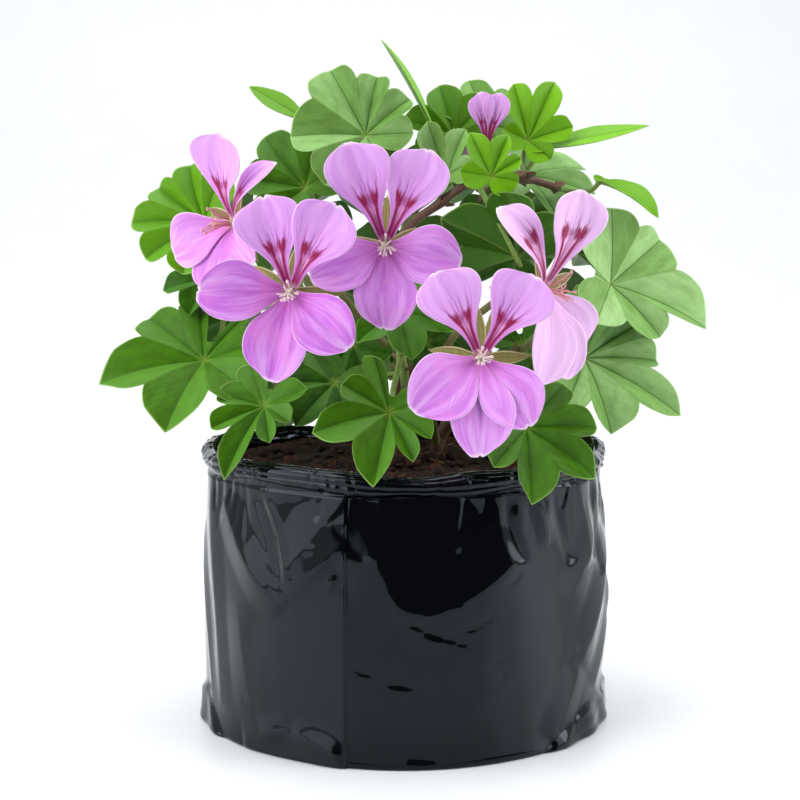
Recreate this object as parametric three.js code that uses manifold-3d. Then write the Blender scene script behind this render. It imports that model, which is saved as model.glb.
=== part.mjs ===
// A potted ivy geranium: a bushy Pelargonium peltatum with lilac blooms, growing in a black
// film grow bag whose mouth is rolled down into a cuff.
// Millimetres, +Z up. The origin is the centre of the bag's flat base, and the side that shows
// the blooms faces -Y.
import * as THREE from "three";
import { mergeVertices } from "three/addons/utils/BufferGeometryUtils.js";
import Module from "manifold-3d";

const wasm = await Module();
wasm.setup();

// Driving dimensions of the bag and its soil
const BAG_RADIUS = 59;
const BELLY = 1.3;
const BASE_FLARE = 1.6;
const BAG_TOP = 81.3;
const CUFF_RADIUS = 3.3;
const CUFF_CENTRE = 57.2;
const INNER_RADIUS = 55.4;
const BASE_FILM = 1.5;
const BAG_SIDES = 48;
const SEAM_ANGLE = -105;
const SEAM_STEP = 0.9;
const BROAD_FOLD = 0.5;
const NARROW_FOLD = 0.4;
const NECK_TUCK = 0.8;
const CUFF_SAG = 0.7;
const CUFF_RIPPLE = 0.5;
const SOIL_TOP = 75.5;
const FIT_GAP = 0.3;
const SOIL_BUMP = 0.8;
const ROOT_DEPTH = 20;
const HOLE_RADIUS = 3;

// Driving dimensions of the plant
const BLADE = 0.8;
const PETAL = 0.7;
const PETIOLE_FOOT_RADIUS = 0.92;
const PETIOLE_TIP_RADIUS = 0.72;
const PETIOLE_ARCH = 1;
const STEM_SIDES = 5;
const STEM_FOOT_RADIUS = 2;
const STEM_TIP_RADIUS = 1.1;
const STALK_RADIUS = 1.2;
const NOTCH_ANGLE = 168;
const NOTCH_SHARE = 0.2;
const NOTCH_RIDGE = 0.6;
const BAY_SHARE = 0.7;
const BROAD_BAY_SHARE = 0.82;
const LOBE_ROUNDING = 0.24;
const SHOULDER_RIDGE = 0.62;
const HUB_RADIUS = 1.7;
const PEDICEL_RADIUS = 0.8;
const UMBEL_RADIUS = 2;
const HUB_BACK = 0.7;
const HUB_FRONT = 0.5;
const CALYX_DEPTH = 2;
const SEPAL_HALF = 1.8;
const STIGMA_RADIUS = 0.9;
const STAMEN_LENGTH = 7;
const STAMEN_SPREAD = 2.1;

const deg = (angle) => (angle * Math.PI) / 180;
const vec = (point) => new THREE.Vector3(...point);

// The same bumps on every run
let seed = 7;
function chance() {
  seed = (seed * 16807) % 2147483647;
  return seed / 2147483647;
}

// A closed mesh as a solid that can be joined and cut
function solid(geometry) {
  const bare = new THREE.BufferGeometry();
  bare.setAttribute("position", geometry.getAttribute("position").clone());
  bare.setIndex(geometry.index ? geometry.index.clone() : null);
  const merged = mergeVertices(bare, 1e-4);
  return new wasm.Manifold(new wasm.Mesh({
    numProp: 3,
    vertProperties: new Float32Array(merged.getAttribute("position").array),
    triVerts: new Uint32Array(merged.index.array),
  }));
}

// A solid as a named mesh in its own colour
function node(name, body, colour, roughness) {
  const { vertProperties, triVerts } = body.getMesh();
  const geometry = new THREE.BufferGeometry();
  geometry.setAttribute("position", new THREE.BufferAttribute(new Float32Array(vertProperties), 3));
  geometry.setIndex(new THREE.BufferAttribute(new Uint32Array(triVerts), 1));
  geometry.computeVertexNormals();
  const material = new THREE.MeshStandardMaterial({ color: colour, roughness, metalness: 0 });
  const mesh = new THREE.Mesh(geometry, material);
  mesh.name = name;
  return mesh;
}

function shape(points, triangles) {
  const geometry = new THREE.BufferGeometry();
  geometry.setFromPoints(points);
  geometry.setIndex(triangles);
  return geometry;
}

// A closed body through rings that all have the same number of points. A ring turns
// anticlockwise as seen from the end that the rings run towards.
function loft(rings) {
  const count = rings[0].length;
  const triangles = [];
  for (let i = 0; i + 1 < rings.length; i++) {
    for (let j = 0; j < count; j++) {
      const a = i * count + j;
      const b = i * count + ((j + 1) % count);
      triangles.push(a, b, b + count, a, b + count, a + count);
    }
  }
  const last = (rings.length - 1) * count;
  for (let j = 1; j + 1 < count; j++) {
    triangles.push(0, j + 1, j, last, last + j, last + j + 1);
  }
  return shape(rings.flat(), triangles);
}

// A round shoot along a smooth curve, thinner towards its end
function shoot(points, startRadius, endRadius, sides, steps) {
  const curve = new THREE.CatmullRomCurve3(points);
  const { normals, binormals } = curve.computeFrenetFrames(steps);
  const rings = [];
  for (let i = 0; i <= steps; i++) {
    const centre = curve.getPointAt(i / steps);
    const radius = startRadius + ((endRadius - startRadius) * i) / steps;
    const ring = [];
    for (let j = 0; j < sides; j++) {
      const turn = (2 * Math.PI * j) / sides;
      ring.push(centre.clone()
        .addScaledVector(normals[i], radius * Math.cos(turn))
        .addScaledVector(binormals[i], radius * Math.sin(turn)));
    }
    rings.push(ring);
  }
  return solid(loft(rings));
}

// A thin closed sheet: the same triangles above and below, and a rim round the outline,
// which runs anticlockwise as seen from above
function sheet(top, bottom, triangles, outline) {
  const count = top.length;
  const index = [...triangles];
  for (let t = 0; t < triangles.length; t += 3) {
    index.push(triangles[t] + count, triangles[t + 2] + count, triangles[t + 1] + count);
  }
  outline.forEach((a, i) => {
    const b = outline[(i + 1) % outline.length];
    index.push(a, a + count, b + count, a, b + count, b);
  });
  return solid(shape([...top, ...bottom], index));
}

// The directions of a flat thing that faces azimuth az and elevation el, in degrees. Azimuth 0
// faces -Y, and 90 faces +X. At roll 0 its tip points straight down the slope, and a positive
// roll turns the tip to the right of someone who looks at its face.
function facing([az, el, roll]) {
  const [a, e, r] = [deg(az), deg(el), deg(roll)];
  const normal = vec([Math.sin(a) * Math.cos(e), -Math.cos(a) * Math.cos(e), Math.sin(e)]);
  const down = vec([Math.sin(a) * Math.sin(e), -Math.cos(a) * Math.sin(e), -Math.cos(e)]);
  const right = vec([Math.cos(a), Math.sin(a), 0]);
  const tip = down.clone().multiplyScalar(Math.cos(r)).addScaledVector(right, Math.sin(r));
  const side = right.clone().multiplyScalar(Math.cos(r)).addScaledVector(down, -Math.sin(r));
  return { tip, side, normal };
}

// The lobes of a plain leaf: the angle of each from the middle one, and its length
const leafLobes = (size) =>
  [[-112, 0.74], [-57, 0.93], [0, 1], [57, 0.93], [112, 0.74]].map(([a, l]) => [a, l * size]);

// A thick ivy-shaped blade: each lobe is creased along its rib, the bays between the lobes
// stand up, and the whole blade is domed. On a `fine` blade a ring of points halfway out
// carries that curve.
function blade(at, pose, lobes, { fold = 0.2, dome = 0.26, fine = false, bay = BAY_SHARE } = {}) {
  const { tip, side, normal } = facing(pose);
  const size = Math.max(...lobes.map(([, length]) => length));
  const top = [];
  const triangles = [];
  const outline = [];
  const put = (angle, radius, ridge) => {
    const height = radius * (fold * ridge + dome * (1 - radius / size));
    top.push(vec(at)
      .addScaledVector(tip, radius * Math.cos(deg(angle)))
      .addScaledVector(side, radius * Math.sin(deg(angle)))
      .addScaledVector(normal, height));
    return top.length - 1;
  };
  const centre = put(0, 0, 0);
  const edge = (i) => (lobes[i][0] + lobes[i + 1][0]) / 2;
  const dip = (i) => bay * Math.min(lobes[i][1], lobes[i + 1][1]);
  const notch = NOTCH_SHARE * size;
  const start = put(-NOTCH_ANGLE, notch, NOTCH_RIDGE);
  outline.push(start);
  let sinus = start;
  let inner = start;
  lobes.forEach(([angle, length], i) => {
    const last = i === lobes.length - 1;
    const before = i === 0 ? -NOTCH_ANGLE : edge(i - 1);
    const after = last ? NOTCH_ANGLE : edge(i);
    const low = i === 0 ? notch : dip(i - 1);
    const high = last ? notch : dip(i);
    const shoulder = (limit, deep) =>
      put((angle + limit) / 2, length - LOBE_ROUNDING * (length - deep), SHOULDER_RIDGE);
    const left = shoulder(before, low);
    const point = put(angle, length, 0);
    const right = shoulder(after, high);
    const next = put(after, high, last ? NOTCH_RIDGE : 1);
    const nextInner = fine && !last ? put(after, high * 0.62, 1) : next;
    const rib = fine ? put(angle, length * 0.5, 0) : centre;
    if (fine) {
      triangles.push(centre, inner, rib, inner, left, rib, rib, left, point);
      triangles.push(centre, rib, nextInner, rib, right, nextInner, rib, point, right);
      if (inner !== sinus) triangles.push(inner, sinus, left);
      if (nextInner !== next) triangles.push(nextInner, right, next);
    } else {
      triangles.push(centre, sinus, left, centre, left, point);
      triangles.push(centre, point, right, centre, right, next);
    }
    outline.push(left, point, right, next);
    sinus = next;
    inner = nextInner;
  });
  triangles.push(centre, sinus, start);
  const bottom = top.map((p) => p.clone().addScaledVector(normal, -BLADE));
  return sheet(top, bottom, triangles, outline);
}

// Some leaves are cut less deeply between their lobes
const FINE = { fine: true };
const BROAD = { bay: BROAD_BAY_SHARE };
const FINE_BROAD = { fine: true, bay: BROAD_BAY_SHARE };
const FLAT = { fold: 0.06, dome: 0.03 };

// A leaf on its petiole, which leaves the stem at the point `from` and meets the back of the
// blade from below
function leaf(at, pose, lobes, from, form = {}, reach = 8) {
  const { tip, normal } = facing(pose);
  const back = vec(at).addScaledVector(normal, -0.5 * BLADE);
  const under = back.clone().addScaledVector(normal, -reach).addScaledVector(tip, -0.5 * reach);
  const start = vec(from);
  const middle = start.clone().lerp(under, 0.6);
  middle.z += PETIOLE_ARCH;
  const petiole = shoot([start, middle, back.clone().lerp(under, 0.45), back],
    PETIOLE_FOOT_RADIUS, PETIOLE_TIP_RADIUS, 3, 4);
  return [blade(at, pose, lobes, form), petiole];
}

// A leafy stem with its leaves and flower stalks, all grown together
function leafyStem(name, path, parts) {
  const points = path.map(vec);
  const stem = shoot(points, STEM_FOOT_RADIUS, STEM_TIP_RADIUS, STEM_SIDES, points.length + 1);
  return node(name, wasm.Manifold.union([stem, ...parts.flat()]), "#4a8c2a", 0.5);
}

// A small round head where the stalks of an umbel meet, on its own stalk
function umbel(path) {
  const points = path.map(vec);
  const head = new THREE.SphereGeometry(UMBEL_RADIUS, 7, 5);
  head.translate(...path[path.length - 1]);
  return [shoot(points, STALK_RADIUS, STALK_RADIUS, 4, points.length + 1), solid(head)];
}

// Where each stem stands in the soil
const STEM_FOOT = {
  left: [-9, -4],
  upperLeft: [-7, 6],
  top: [1, 9],
  main: [-1, 0],
  right: [9, 2],
  front: [2, -9],
  backLeft: [-8, 14],
  backRight: [10, 12],
  back: [1, 18],
};
const foot = (key) => [
  [...STEM_FOOT[key], SOIL_TOP - ROOT_DEPTH],
  [...STEM_FOOT[key], SOIL_TOP + 1],
];

// The bag's outside: a soft cylinder with a lapped side seam, slack folds that run down from
// the cuff, and a belly that the soil pushes out
function wallRadius(angle, height) {
  const past = (((angle - SEAM_ANGLE) % 360) + 360) % 360;
  const lap = SEAM_STEP * Math.max(0, 1 - past / 60) - 0.5 * SEAM_STEP;
  const rise = height / BAG_TOP;
  const slack = BROAD_FOLD * Math.sin(deg(3 * angle + 150 * rise))
    + NARROW_FOLD * Math.sin(deg(7 * angle - 230 * rise));
  const tuck = NECK_TUCK * Math.sin(deg(11 * angle + 40)) * Math.max(0, rise - 0.4);
  const flare = BASE_FLARE * Math.exp(-height / 5);
  const middle = Math.sin(Math.PI * Math.min(1, rise + 0.12));
  return BAG_RADIUS + (BELLY + slack) * middle + tuck + flare + lap;
}

function growBag() {
  const levels = [0, 2, 10, 26, 44, 60, 72];
  const cuffMiddle = BAG_TOP - CUFF_RADIUS;
  const rings = [];
  const ring = (radiusAt, heightAt) => {
    const points = [];
    for (let i = 0; i < BAG_SIDES; i++) {
      const angle = (360 * i) / BAG_SIDES;
      const radius = radiusAt(angle);
      points.push(vec([radius * Math.cos(deg(angle)), radius * Math.sin(deg(angle)), heightAt(angle)]));
    }
    rings.push(points);
  };
  levels.forEach((height) => ring((angle) => wallRadius(angle, height), () => height));
  const sag = (angle) => CUFF_SAG * Math.sin(deg(2 * angle + 60))
    + CUFF_RIPPLE * Math.sin(deg(5 * angle));
  const swell = (angle) => CUFF_RADIUS
    * (1 + 0.12 * Math.sin(deg(9 * angle)) + 0.08 * Math.sin(deg(14 * angle + 50)));
  [-110, -40, 30, 95].forEach((turn) => {
    const out = Math.cos(deg(turn));
    const up = Math.sin(deg(turn));
    ring((angle) => CUFF_CENTRE + swell(angle) * out,
      (angle) => cuffMiddle + sag(angle) + swell(angle) * up);
  });
  ring(() => INNER_RADIUS, () => cuffMiddle);
  ring(() => INNER_RADIUS, () => BASE_FILM);
  return node("grow_bag", solid(loft(rings)), "#15171b", 0.25);
}

// The soil plug, with a plain hole for the foot of each stem
function soil() {
  const radius = INNER_RADIUS - FIT_GAP;
  const bands = [1, 0.8, 0.5, 0.2];
  const sides = 24;
  const rings = [BASE_FILM + FIT_GAP, SOIL_TOP - 3].map((height) => {
    const points = [];
    for (let i = 0; i < sides; i++) {
      const turn = (2 * Math.PI * i) / sides;
      points.push(vec([radius * Math.cos(turn), radius * Math.sin(turn), height]));
    }
    return points;
  });
  bands.slice(1).forEach((share) => {
    const points = [];
    for (let i = 0; i < sides; i++) {
      const turn = (2 * Math.PI * (i + 0.35 * chance())) / sides;
      const height = SOIL_TOP + SOIL_BUMP * (2 * chance() - 1);
      points.push(vec([radius * share * Math.cos(turn), radius * share * Math.sin(turn), height]));
    }
    rings.push(points);
  });
  let plug = solid(loft(rings));
  Object.values(STEM_FOOT).forEach(([x, y]) => {
    const depth = ROOT_DEPTH + 12;
    const hole = new THREE.CylinderGeometry(HOLE_RADIUS, HOLE_RADIUS, depth, 6);
    hole.rotateX(Math.PI / 2);
    hole.translate(x, y, SOIL_TOP - ROOT_DEPTH - FIT_GAP + depth / 2);
    plug = plug.subtract(solid(hole));
  });
  return node("soil", plug, "#2e1c12", 1);
}

// The shares of a petal's length and of its half width, from its claw to its tip
const UPPER = { rows: [0, 0.25, 0.5, 0.72, 0.88, 1], widths: [0.12, 0.2, 0.54, 0.98, 0.93, 0.38] };
const LOWER = { rows: [0, 0.3, 0.6, 0.85, 1], widths: [0.18, 0.58, 1, 0.82, 0.3] };
const SEPAL = { rows: [0, 0.5, 1], widths: [0.5, 1, 0.15], places: [-1, 1] };

// A petal or sepal: it leaves the middle of the flower at angle phi, clockwise from the top,
// and curls from `lift` degrees off the flower's axis at its root to `lean` at its tip
function petal(at, pose, spec) {
  const { form, phi, length, half, lift, lean, cup = 0.25, root = 0.9, twist = 0 } = spec;
  const { tip, side, normal: axis } = facing(pose);
  const up = tip.clone().negate();
  const out = up.clone().multiplyScalar(Math.cos(deg(phi))).addScaledVector(side, Math.sin(deg(phi)));
  const across = side.clone().multiplyScalar(Math.cos(deg(phi))).addScaledVector(up, -Math.sin(deg(phi)));
  const { rows, widths, places = [-1, 0, 1] } = form;
  const centre = vec(at).addScaledVector(out, root);
  const top = [];
  const bottom = [];
  let done = 0;
  rows.forEach((share, i) => {
    const lean0 = deg(lift + (lean - lift) * (share + done) / 2);
    centre.addScaledVector(axis, Math.cos(lean0) * (share - done) * length);
    centre.addScaledVector(out, Math.sin(lean0) * (share - done) * length);
    done = share;
    const bend = deg(lift + (lean - lift) * share);
    const face = axis.clone().multiplyScalar(Math.sin(bend)).addScaledVector(out, -Math.cos(bend));
    const turn = deg(twist * share);
    const wide = across.clone().multiplyScalar(Math.cos(turn)).addScaledVector(face, Math.sin(turn));
    const proud = face.clone().multiplyScalar(Math.cos(turn)).addScaledVector(across, -Math.sin(turn));
    places.forEach((place) => {
      const reach = place * widths[i] * half;
      const point = centre.clone()
        .addScaledVector(wide, reach)
        .addScaledVector(proud, cup * Math.abs(reach));
      top.push(point);
      bottom.push(point.clone().addScaledVector(proud, -PETAL));
    });
  });
  const count = places.length;
  const triangles = [];
  for (let i = 0; i + 1 < rows.length; i++) {
    for (let j = 0; j + 1 < count; j++) {
      const a = count * i + j;
      triangles.push(a, a + 1, a + count + 1, a, a + count + 1, a + count);
    }
  }
  const outline = places.map((_, j) => j);
  for (let i = 1; i < rows.length; i++) outline.push(count * i + count - 1);
  for (let j = count - 2; j >= 0; j--) outline.push(count * (rows.length - 1) + j);
  for (let i = rows.length - 2; i > 0; i--) outline.push(count * i);
  return sheet(top, bottom, triangles, outline);
}

// A round button across a flower's axis
function button(at, pose, radius, back, front) {
  const { tip, side, normal } = facing(pose);
  const rings = [back, front].map((depth) => {
    const points = [];
    for (let i = 0; i < 6; i++) {
      const turn = (2 * Math.PI * i) / 6;
      points.push(vec(at)
        .addScaledVector(normal, depth)
        .addScaledVector(tip, radius * Math.cos(turn))
        .addScaledVector(side, radius * Math.sin(turn)));
    }
    return points;
  });
  return solid(loft(rings));
}

// One bloom: its five petals on their hub, the calyx with its pedicel behind them, and the
// stamens with the stigma in front
function bloom(name, at, pose, petals, head, sepalLength = 12.5) {
  const { tip, side, normal } = facing(pose);
  const petalBody = wasm.Manifold.union([
    button(at, pose, HUB_RADIUS, -HUB_BACK, HUB_FRONT),
    ...petals.map((spec) => {
      const form = Math.abs(spec.phi) < 60 ? UPPER : LOWER;
      return petal(at, pose, { form, lift: 42, lean: 98, ...spec });
    }),
  ]);
  const cup = vec(at).addScaledVector(normal, -HUB_BACK - FIT_GAP);
  const away = vec(head).sub(cup);
  const stop = vec(head).addScaledVector(away.clone().normalize(), -UMBEL_RADIUS - FIT_GAP);
  const root = cup.clone().addScaledVector(normal, -0.5 * CALYX_DEPTH);
  const bow = root.clone().addScaledVector(normal, -0.35 * away.length()).lerp(stop, 0.25);
  const ruff = cup.clone().addScaledVector(normal, -0.25 * CALYX_DEPTH).toArray();
  const sepal = {
    form: SEPAL, length: sepalLength, half: SEPAL_HALF, lift: 88, lean: 96, root: 0.6, cup: 0.3,
  };
  const calyxBody = wasm.Manifold.union([
    button(cup.toArray(), pose, HUB_RADIUS, -CALYX_DEPTH, 0),
    shoot([root, bow, stop], PEDICEL_RADIUS, PEDICEL_RADIUS, 3, 4),
    ...[0, 72, 140, -140, -72].map((phi) => petal(ruff, pose, { ...sepal, phi })),
  ]);
  const front = vec(at).addScaledVector(normal, HUB_FRONT + FIT_GAP);
  const threads = [-40, 40, 180].map((turn, i) => {
    const end = front.clone()
      .addScaledVector(normal, STAMEN_LENGTH - 0.8 * i)
      .addScaledVector(tip, STAMEN_SPREAD * Math.cos(deg(turn)))
      .addScaledVector(side, STAMEN_SPREAD * Math.sin(deg(turn)));
    const middle = front.clone().lerp(end, 0.5).addScaledVector(normal, 0.8);
    const begin = front.clone().addScaledVector(normal, 0.2);
    return shoot([begin, middle, end], 0.45, 0.35, 3, 1);
  });
  const stigma = button(front.toArray(), pose, STIGMA_RADIUS, 0, STIGMA_RADIUS);
  const stamenBody = wasm.Manifold.union([stigma, ...threads]);
  return [
    node(`${name}_petals`, petalBody, "#d98ee8", 0.55),
    node(`${name}_calyx`, calyxBody, "#9a9a55", 0.6),
    node(`${name}_stamens`, stamenBody, "#e8a0b8", 0.5),
  ];
}

const UMBEL_LEFT = [-25, -34, 143];
const UMBEL_RIGHT = [26, -36, 126];
const UMBEL_TOP = [25, 8, 156];

// Leaves are listed with the place where the petiole meets the blade, the way the blade faces
// (azimuth, elevation, roll), its lobes (angle and length), and where the petiole starts
const stems = [
  leafyStem("stem_left",
    [...foot("left"), [-18, -8, 90], [-33, -10, 97], [-44, -4, 108], [-53, 2, 122]], [
      leaf([-58, -14, 107], [-10, 50, -10],
        [[-155, 26], [-118, 26], [-60, 31], [0, 29], [60, 27], [118, 20], [160, 19]], [-53, 2, 122], FINE),
      leaf([-39, -34, 96], [-15, 40, -15],
        [[-138, 15], [-84, 14], [-40, 16], [0, 25], [36, 14], [72, 11], [130, 13]], [-32, -10, 97]),
      leaf([-57, 4, 130], [-20, 40, -72], leafLobes(16), [-53, 2, 122]),
    ]),
  leafyStem("stem_upper_left",
    [...foot("upperLeft"), [-14, 6, 100], [-26, 6, 124], [-36, 6, 142], [-39, 8, 155]], [
      leaf([-58, -8, 147], [-25, 22, -89],
        [[-105, 16], [-64, 20], [-32, 21], [0, 25], [34, 21], [78, 17]], [-36, 6, 142], BROAD),
      leaf([-29, 0, 157], [-15, 25, -138],
        [[-100, 17], [-50, 19], [0, 22], [42, 19], [95, 16]], [-37, 7, 148], BROAD),
      leaf([-30, 16, 178], [80, 60, 180],
        [[-100, 10], [-45, 13], [0, 20], [45, 13], [100, 10]], [-39, 8, 155], FLAT),
    ]),
  leafyStem("stem_top",
    [...foot("top"), [0, 12, 105], [-2, 14, 130], [2, 14, 152], [6, 12, 166]], [
      leaf([-11, -6, 172], [-5, 28, -152],
        [[-120, 14], [-75, 17], [-35, 20], [0, 25], [64, 22], [118, 20]], [4, 13, 160], FINE_BROAD),
      leaf([10, 13, 173], [90, 27, 180],
        [[-90, 7], [-36, 12], [0, 33], [36, 12], [90, 7]], [6, 12, 166], FLAT),
      leaf([15, 14, 173], [0, 30, -167], leafLobes(18), [6, 12, 166]),
      leaf([25, 20, 176], [10, 30, -169], leafLobes(17), [6, 12, 164]),
    ]),
  leafyStem("stem_main",
    [...foot("main"), [-1, -3, 107], [0, -2, 143], [10, -3, 152], [21, -4, 159], [34, 0, 160],
      [46, 3, 157]], [
      leaf([37, 5, 171], [0, 15, 156],
        [[-108, 9], [-49, 14], [0, 20], [37, 18], [90, 8]], [36, 0, 160]),
      leaf([40, 5, 169], [-88, 80, 180],
        [[-100, 10], [-40, 17], [0, 34], [40, 17], [100, 10]], [36, 0, 160], FLAT),
      leaf([25, -16, 160], [0, 6, 158],
        [[-78, 8], [-36, 10], [0, 13], [48, 14], [103, 9]], [21, -4, 159]),
      leaf([13, -3, 161], [-25, 15, -153],
        [[-95, 9], [-45, 14], [0, 18], [50, 14], [100, 9]], [12, -3, 153]),
      leaf([37, 16, 161], [20, 50, 60],
        [[-100, 16], [-49, 20], [0, 22], [40, 22], [100, 15]], [32, 0, 160]),
      leaf([33, -8, 137], [170, 35, 120], leafLobes(25), [21, -4, 159]),
      leaf([58, 0, 159], [35, 62, 18],
        [[-100, 4], [-40, 9], [0, 22], [40, 9], [100, 4]], [46, 3, 157]),
      leaf([-15, -3, 111], [-8, 20, 20], leafLobes(14), [-1, -3, 107]),
      umbel([[-1, -3, 107], [-9, -8, 115], [-20, -22, 130], UMBEL_LEFT]),
      umbel([[21, -3, 158], [23, 4, 157], UMBEL_TOP]),
    ]),
  leafyStem("stem_right",
    [...foot("right"), [18, 0, 92], [34, -2, 108], [46, -4, 120], [52, -3, 128]], [
      leaf([33, -50, 92], [10, 32, -4],
        [[-100, 16], [-38, 16], [0, 23], [54, 23], [93, 20], [140, 17]], [14, 1, 87], FINE),
      leaf([52, -18, 108], [20, 38, 49],
        [[-130, 18], [-82, 22], [-48, 26], [0, 32], [34, 22], [68, 24], [100, 25]],
        [34, -2, 108], FINE_BROAD),
      leaf([60, -12, 129], [22, 25, 65],
        [[-100, 16], [-30, 21], [0, 33], [60, 22.5], [104, 24]], [49, -4, 124], FINE_BROAD),
      leaf([36, 8, 110], [15, 25, 10], leafLobes(17), [30, -2, 104]),
      umbel([[10, 2, 80], [8, -18, 100], [14, -28, 115], UMBEL_RIGHT]),
    ]),
  leafyStem("stem_front",
    [...foot("front"), [1, -14, 90], [0, -18, 104], [-2, -16, 114]], [
      leaf([-4, -49, 96], [8, 38, -15],
        [[-155, 18], [-108, 15], [-60, 22], [0, 24], [32, 17], [64, 14], [120, 12]], [-1, -18, 108], FINE),
      leaf([-1, -22, 122], [0, 40, 10], leafLobes(18), [-2, -16, 114]),
      leaf([-20, -20, 101], [-10, 40, -30], leafLobes(18), [0, -18, 104]),
    ]),
  leafyStem("stem_back_left",
    [...foot("backLeft"), [-18, 20, 98], [-30, 26, 120], [-36, 26, 140]], [
      leaf([-50, 34, 118], [-125, 35, 10], leafLobes(30), [-30, 26, 120]),
      leaf([-36, 47, 97], [-145, 30, -10], leafLobes(26), [-20, 21, 102]),
      leaf([-52, 17, 112], [-100, 35, -60], leafLobes(20), [-24, 23, 109]),
      leaf([-32, 42, 145], [-150, 45, 15], leafLobes(24), [-35, 26, 136]),
      leaf([-48, 26, 150], [-110, 45, -10], leafLobes(22), [-36, 26, 140]),
    ]),
  leafyStem("stem_back_right",
    [...foot("backRight"), [20, 20, 98], [32, 24, 122], [36, 22, 146]], [
      leaf([50, 36, 118], [130, 35, -10], leafLobes(30), [32, 24, 122]),
      leaf([30, 50, 98], [155, 30, 10], leafLobes(27), [22, 21, 102]),
      leaf([55, 18, 112], [100, 35, 60], leafLobes(20), [26, 22, 110]),
      leaf([33, 40, 147], [150, 45, -15], leafLobes(24), [35, 23, 138]),
      leaf([54, 26, 138], [105, 45, 10], leafLobes(22), [35, 23, 138]),
    ]),
  leafyStem("stem_back",
    [...foot("back"), [2, 28, 100], [2, 34, 125], [3, 30, 150]], [
      leaf([-2, 57, 116], [180, 35, 5], leafLobes(28), [2, 31, 112]),
      leaf([2, 48, 138], [178, 50, -10], leafLobes(26), [3, 33, 132]),
      leaf([-14, 32, 160], [-160, 60, -20], leafLobes(24), [3, 30, 150]),
      leaf([16, 34, 162], [160, 60, 20], leafLobes(24), [3, 30, 150]),
      leaf([7, 22, 110], [5, 25, 0], leafLobes(15), [2, 30, 106]),
    ]),
];

// Petals are listed with their angle round the bloom, length and half width, and the lean and
// twist at the tip of those that don't open flat
const blooms = [
  bloom("bloom_left", [-47, -36, 147], [-42, 5, 0], [
    { phi: 16, length: 26, half: 9, lean: 84, twist: -15 },
    { phi: 46, length: 25, half: 5, lean: 135, twist: 35 },
    { phi: -120, length: 20, half: 8 },
    { phi: 178, length: 22, half: 7.5 },
    { phi: 128, length: 20, half: 7.5, lean: 104 },
  ], UMBEL_LEFT),
  bloom("bloom_lower_left", [-30, -56, 129], [-5, 5, 0], [
    { phi: -14, length: 27, half: 9 },
    { phi: 32, length: 28, half: 9 },
    { phi: -91, length: 25, half: 8 },
    { phi: -169, length: 25.5, half: 8.5 },
    { phi: 132, length: 24, half: 9 },
  ], UMBEL_LEFT),
  bloom("bloom_upper_middle", [-5, -50, 141], [0, 5, 0], [
    { phi: -20, length: 30, half: 9.5 },
    { phi: 25, length: 29, half: 9 },
    { phi: -114, length: 23, half: 7.5 },
    { phi: 105, length: 22, half: 8 },
    { phi: 180, length: 24, half: 9 },
  ], UMBEL_LEFT),
  bloom("bloom_lower_right", [20, -62, 112], [5, 15, 0], [
    { phi: -30, length: 26, half: 9 },
    { phi: 34, length: 26, half: 9 },
    { phi: -130, length: 26, half: 9 },
    { phi: -176, length: 29, half: 8.5 },
    { phi: 150, length: 24, half: 8.5 },
  ], UMBEL_RIGHT),
  bloom("bloom_right", [38, -44, 129], [38, 5, 0], [
    { phi: 4, length: 29, half: 10, lean: 80 },
    { phi: -28, length: 29, half: 8, lean: 118 },
    { phi: -156, length: 29, half: 8, lean: 102 },
    { phi: -179, length: 26, half: 7 },
    { phi: 145, length: 20, half: 7, lean: 120 },
  ], UMBEL_RIGHT),
  bloom("bloom_top", [24.5, 0, 168], [0, 8, 0], [
    { phi: -9, length: 17, half: 4 },
    { phi: 12, length: 17, half: 4 },
    { phi: -105, length: 7, half: 3 },
    { phi: 180, length: 7, half: 3 },
    { phi: 110, length: 7, half: 3 },
  ], UMBEL_TOP, 5),
];

const plant = new THREE.Group();
plant.add(growBag(), soil(), ...stems, ...blooms.flat());

export default plant;
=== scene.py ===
import math

import bpy
import numpy as np
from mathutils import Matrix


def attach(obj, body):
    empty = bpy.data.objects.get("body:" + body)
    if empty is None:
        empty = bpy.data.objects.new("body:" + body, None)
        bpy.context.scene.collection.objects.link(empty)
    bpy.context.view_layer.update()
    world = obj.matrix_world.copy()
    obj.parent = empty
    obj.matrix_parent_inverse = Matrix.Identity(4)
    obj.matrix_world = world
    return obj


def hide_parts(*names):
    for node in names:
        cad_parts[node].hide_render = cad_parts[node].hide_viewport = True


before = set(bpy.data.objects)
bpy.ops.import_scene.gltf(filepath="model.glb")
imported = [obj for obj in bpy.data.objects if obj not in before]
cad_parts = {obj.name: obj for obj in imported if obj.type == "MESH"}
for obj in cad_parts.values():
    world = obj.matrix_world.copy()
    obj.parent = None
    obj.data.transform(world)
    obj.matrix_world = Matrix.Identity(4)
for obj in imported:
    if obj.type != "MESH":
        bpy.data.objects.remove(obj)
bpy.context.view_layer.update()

# The grow bag: a tube of glossy black polythene film, lapped and welded down one side and
# folded flat under the soil. Its mouth is rolled outwards into a cuff, and it creases where
# it was gathered below the cuff and where the soil pushes it out.
BAG_RADIUS = 59.0
BAG_BELLY = 1.3
BAG_TOP = 81.3
BASE_FLARE = 1.6
SEAM_ANGLE = -105.0
SEAM_STEP = 0.9
CUFF_RADIUS = 3.3
CUFF_CENTRE = 57.2
CUFF_HEIGHT = BAG_TOP - CUFF_RADIUS
MOUTH_RADIUS = 55.4
BASE_FILM = 1.5
FOLD_STEP = 1.0
FOLD_EDGE = 1.8
FILM_COLUMNS = 600
WALL_HEIGHTS = [0.0, 0.35, 0.9, 1.6, 2.4, 3.3, 4.3, *np.linspace(5.3, 74.4, 78)]
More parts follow.
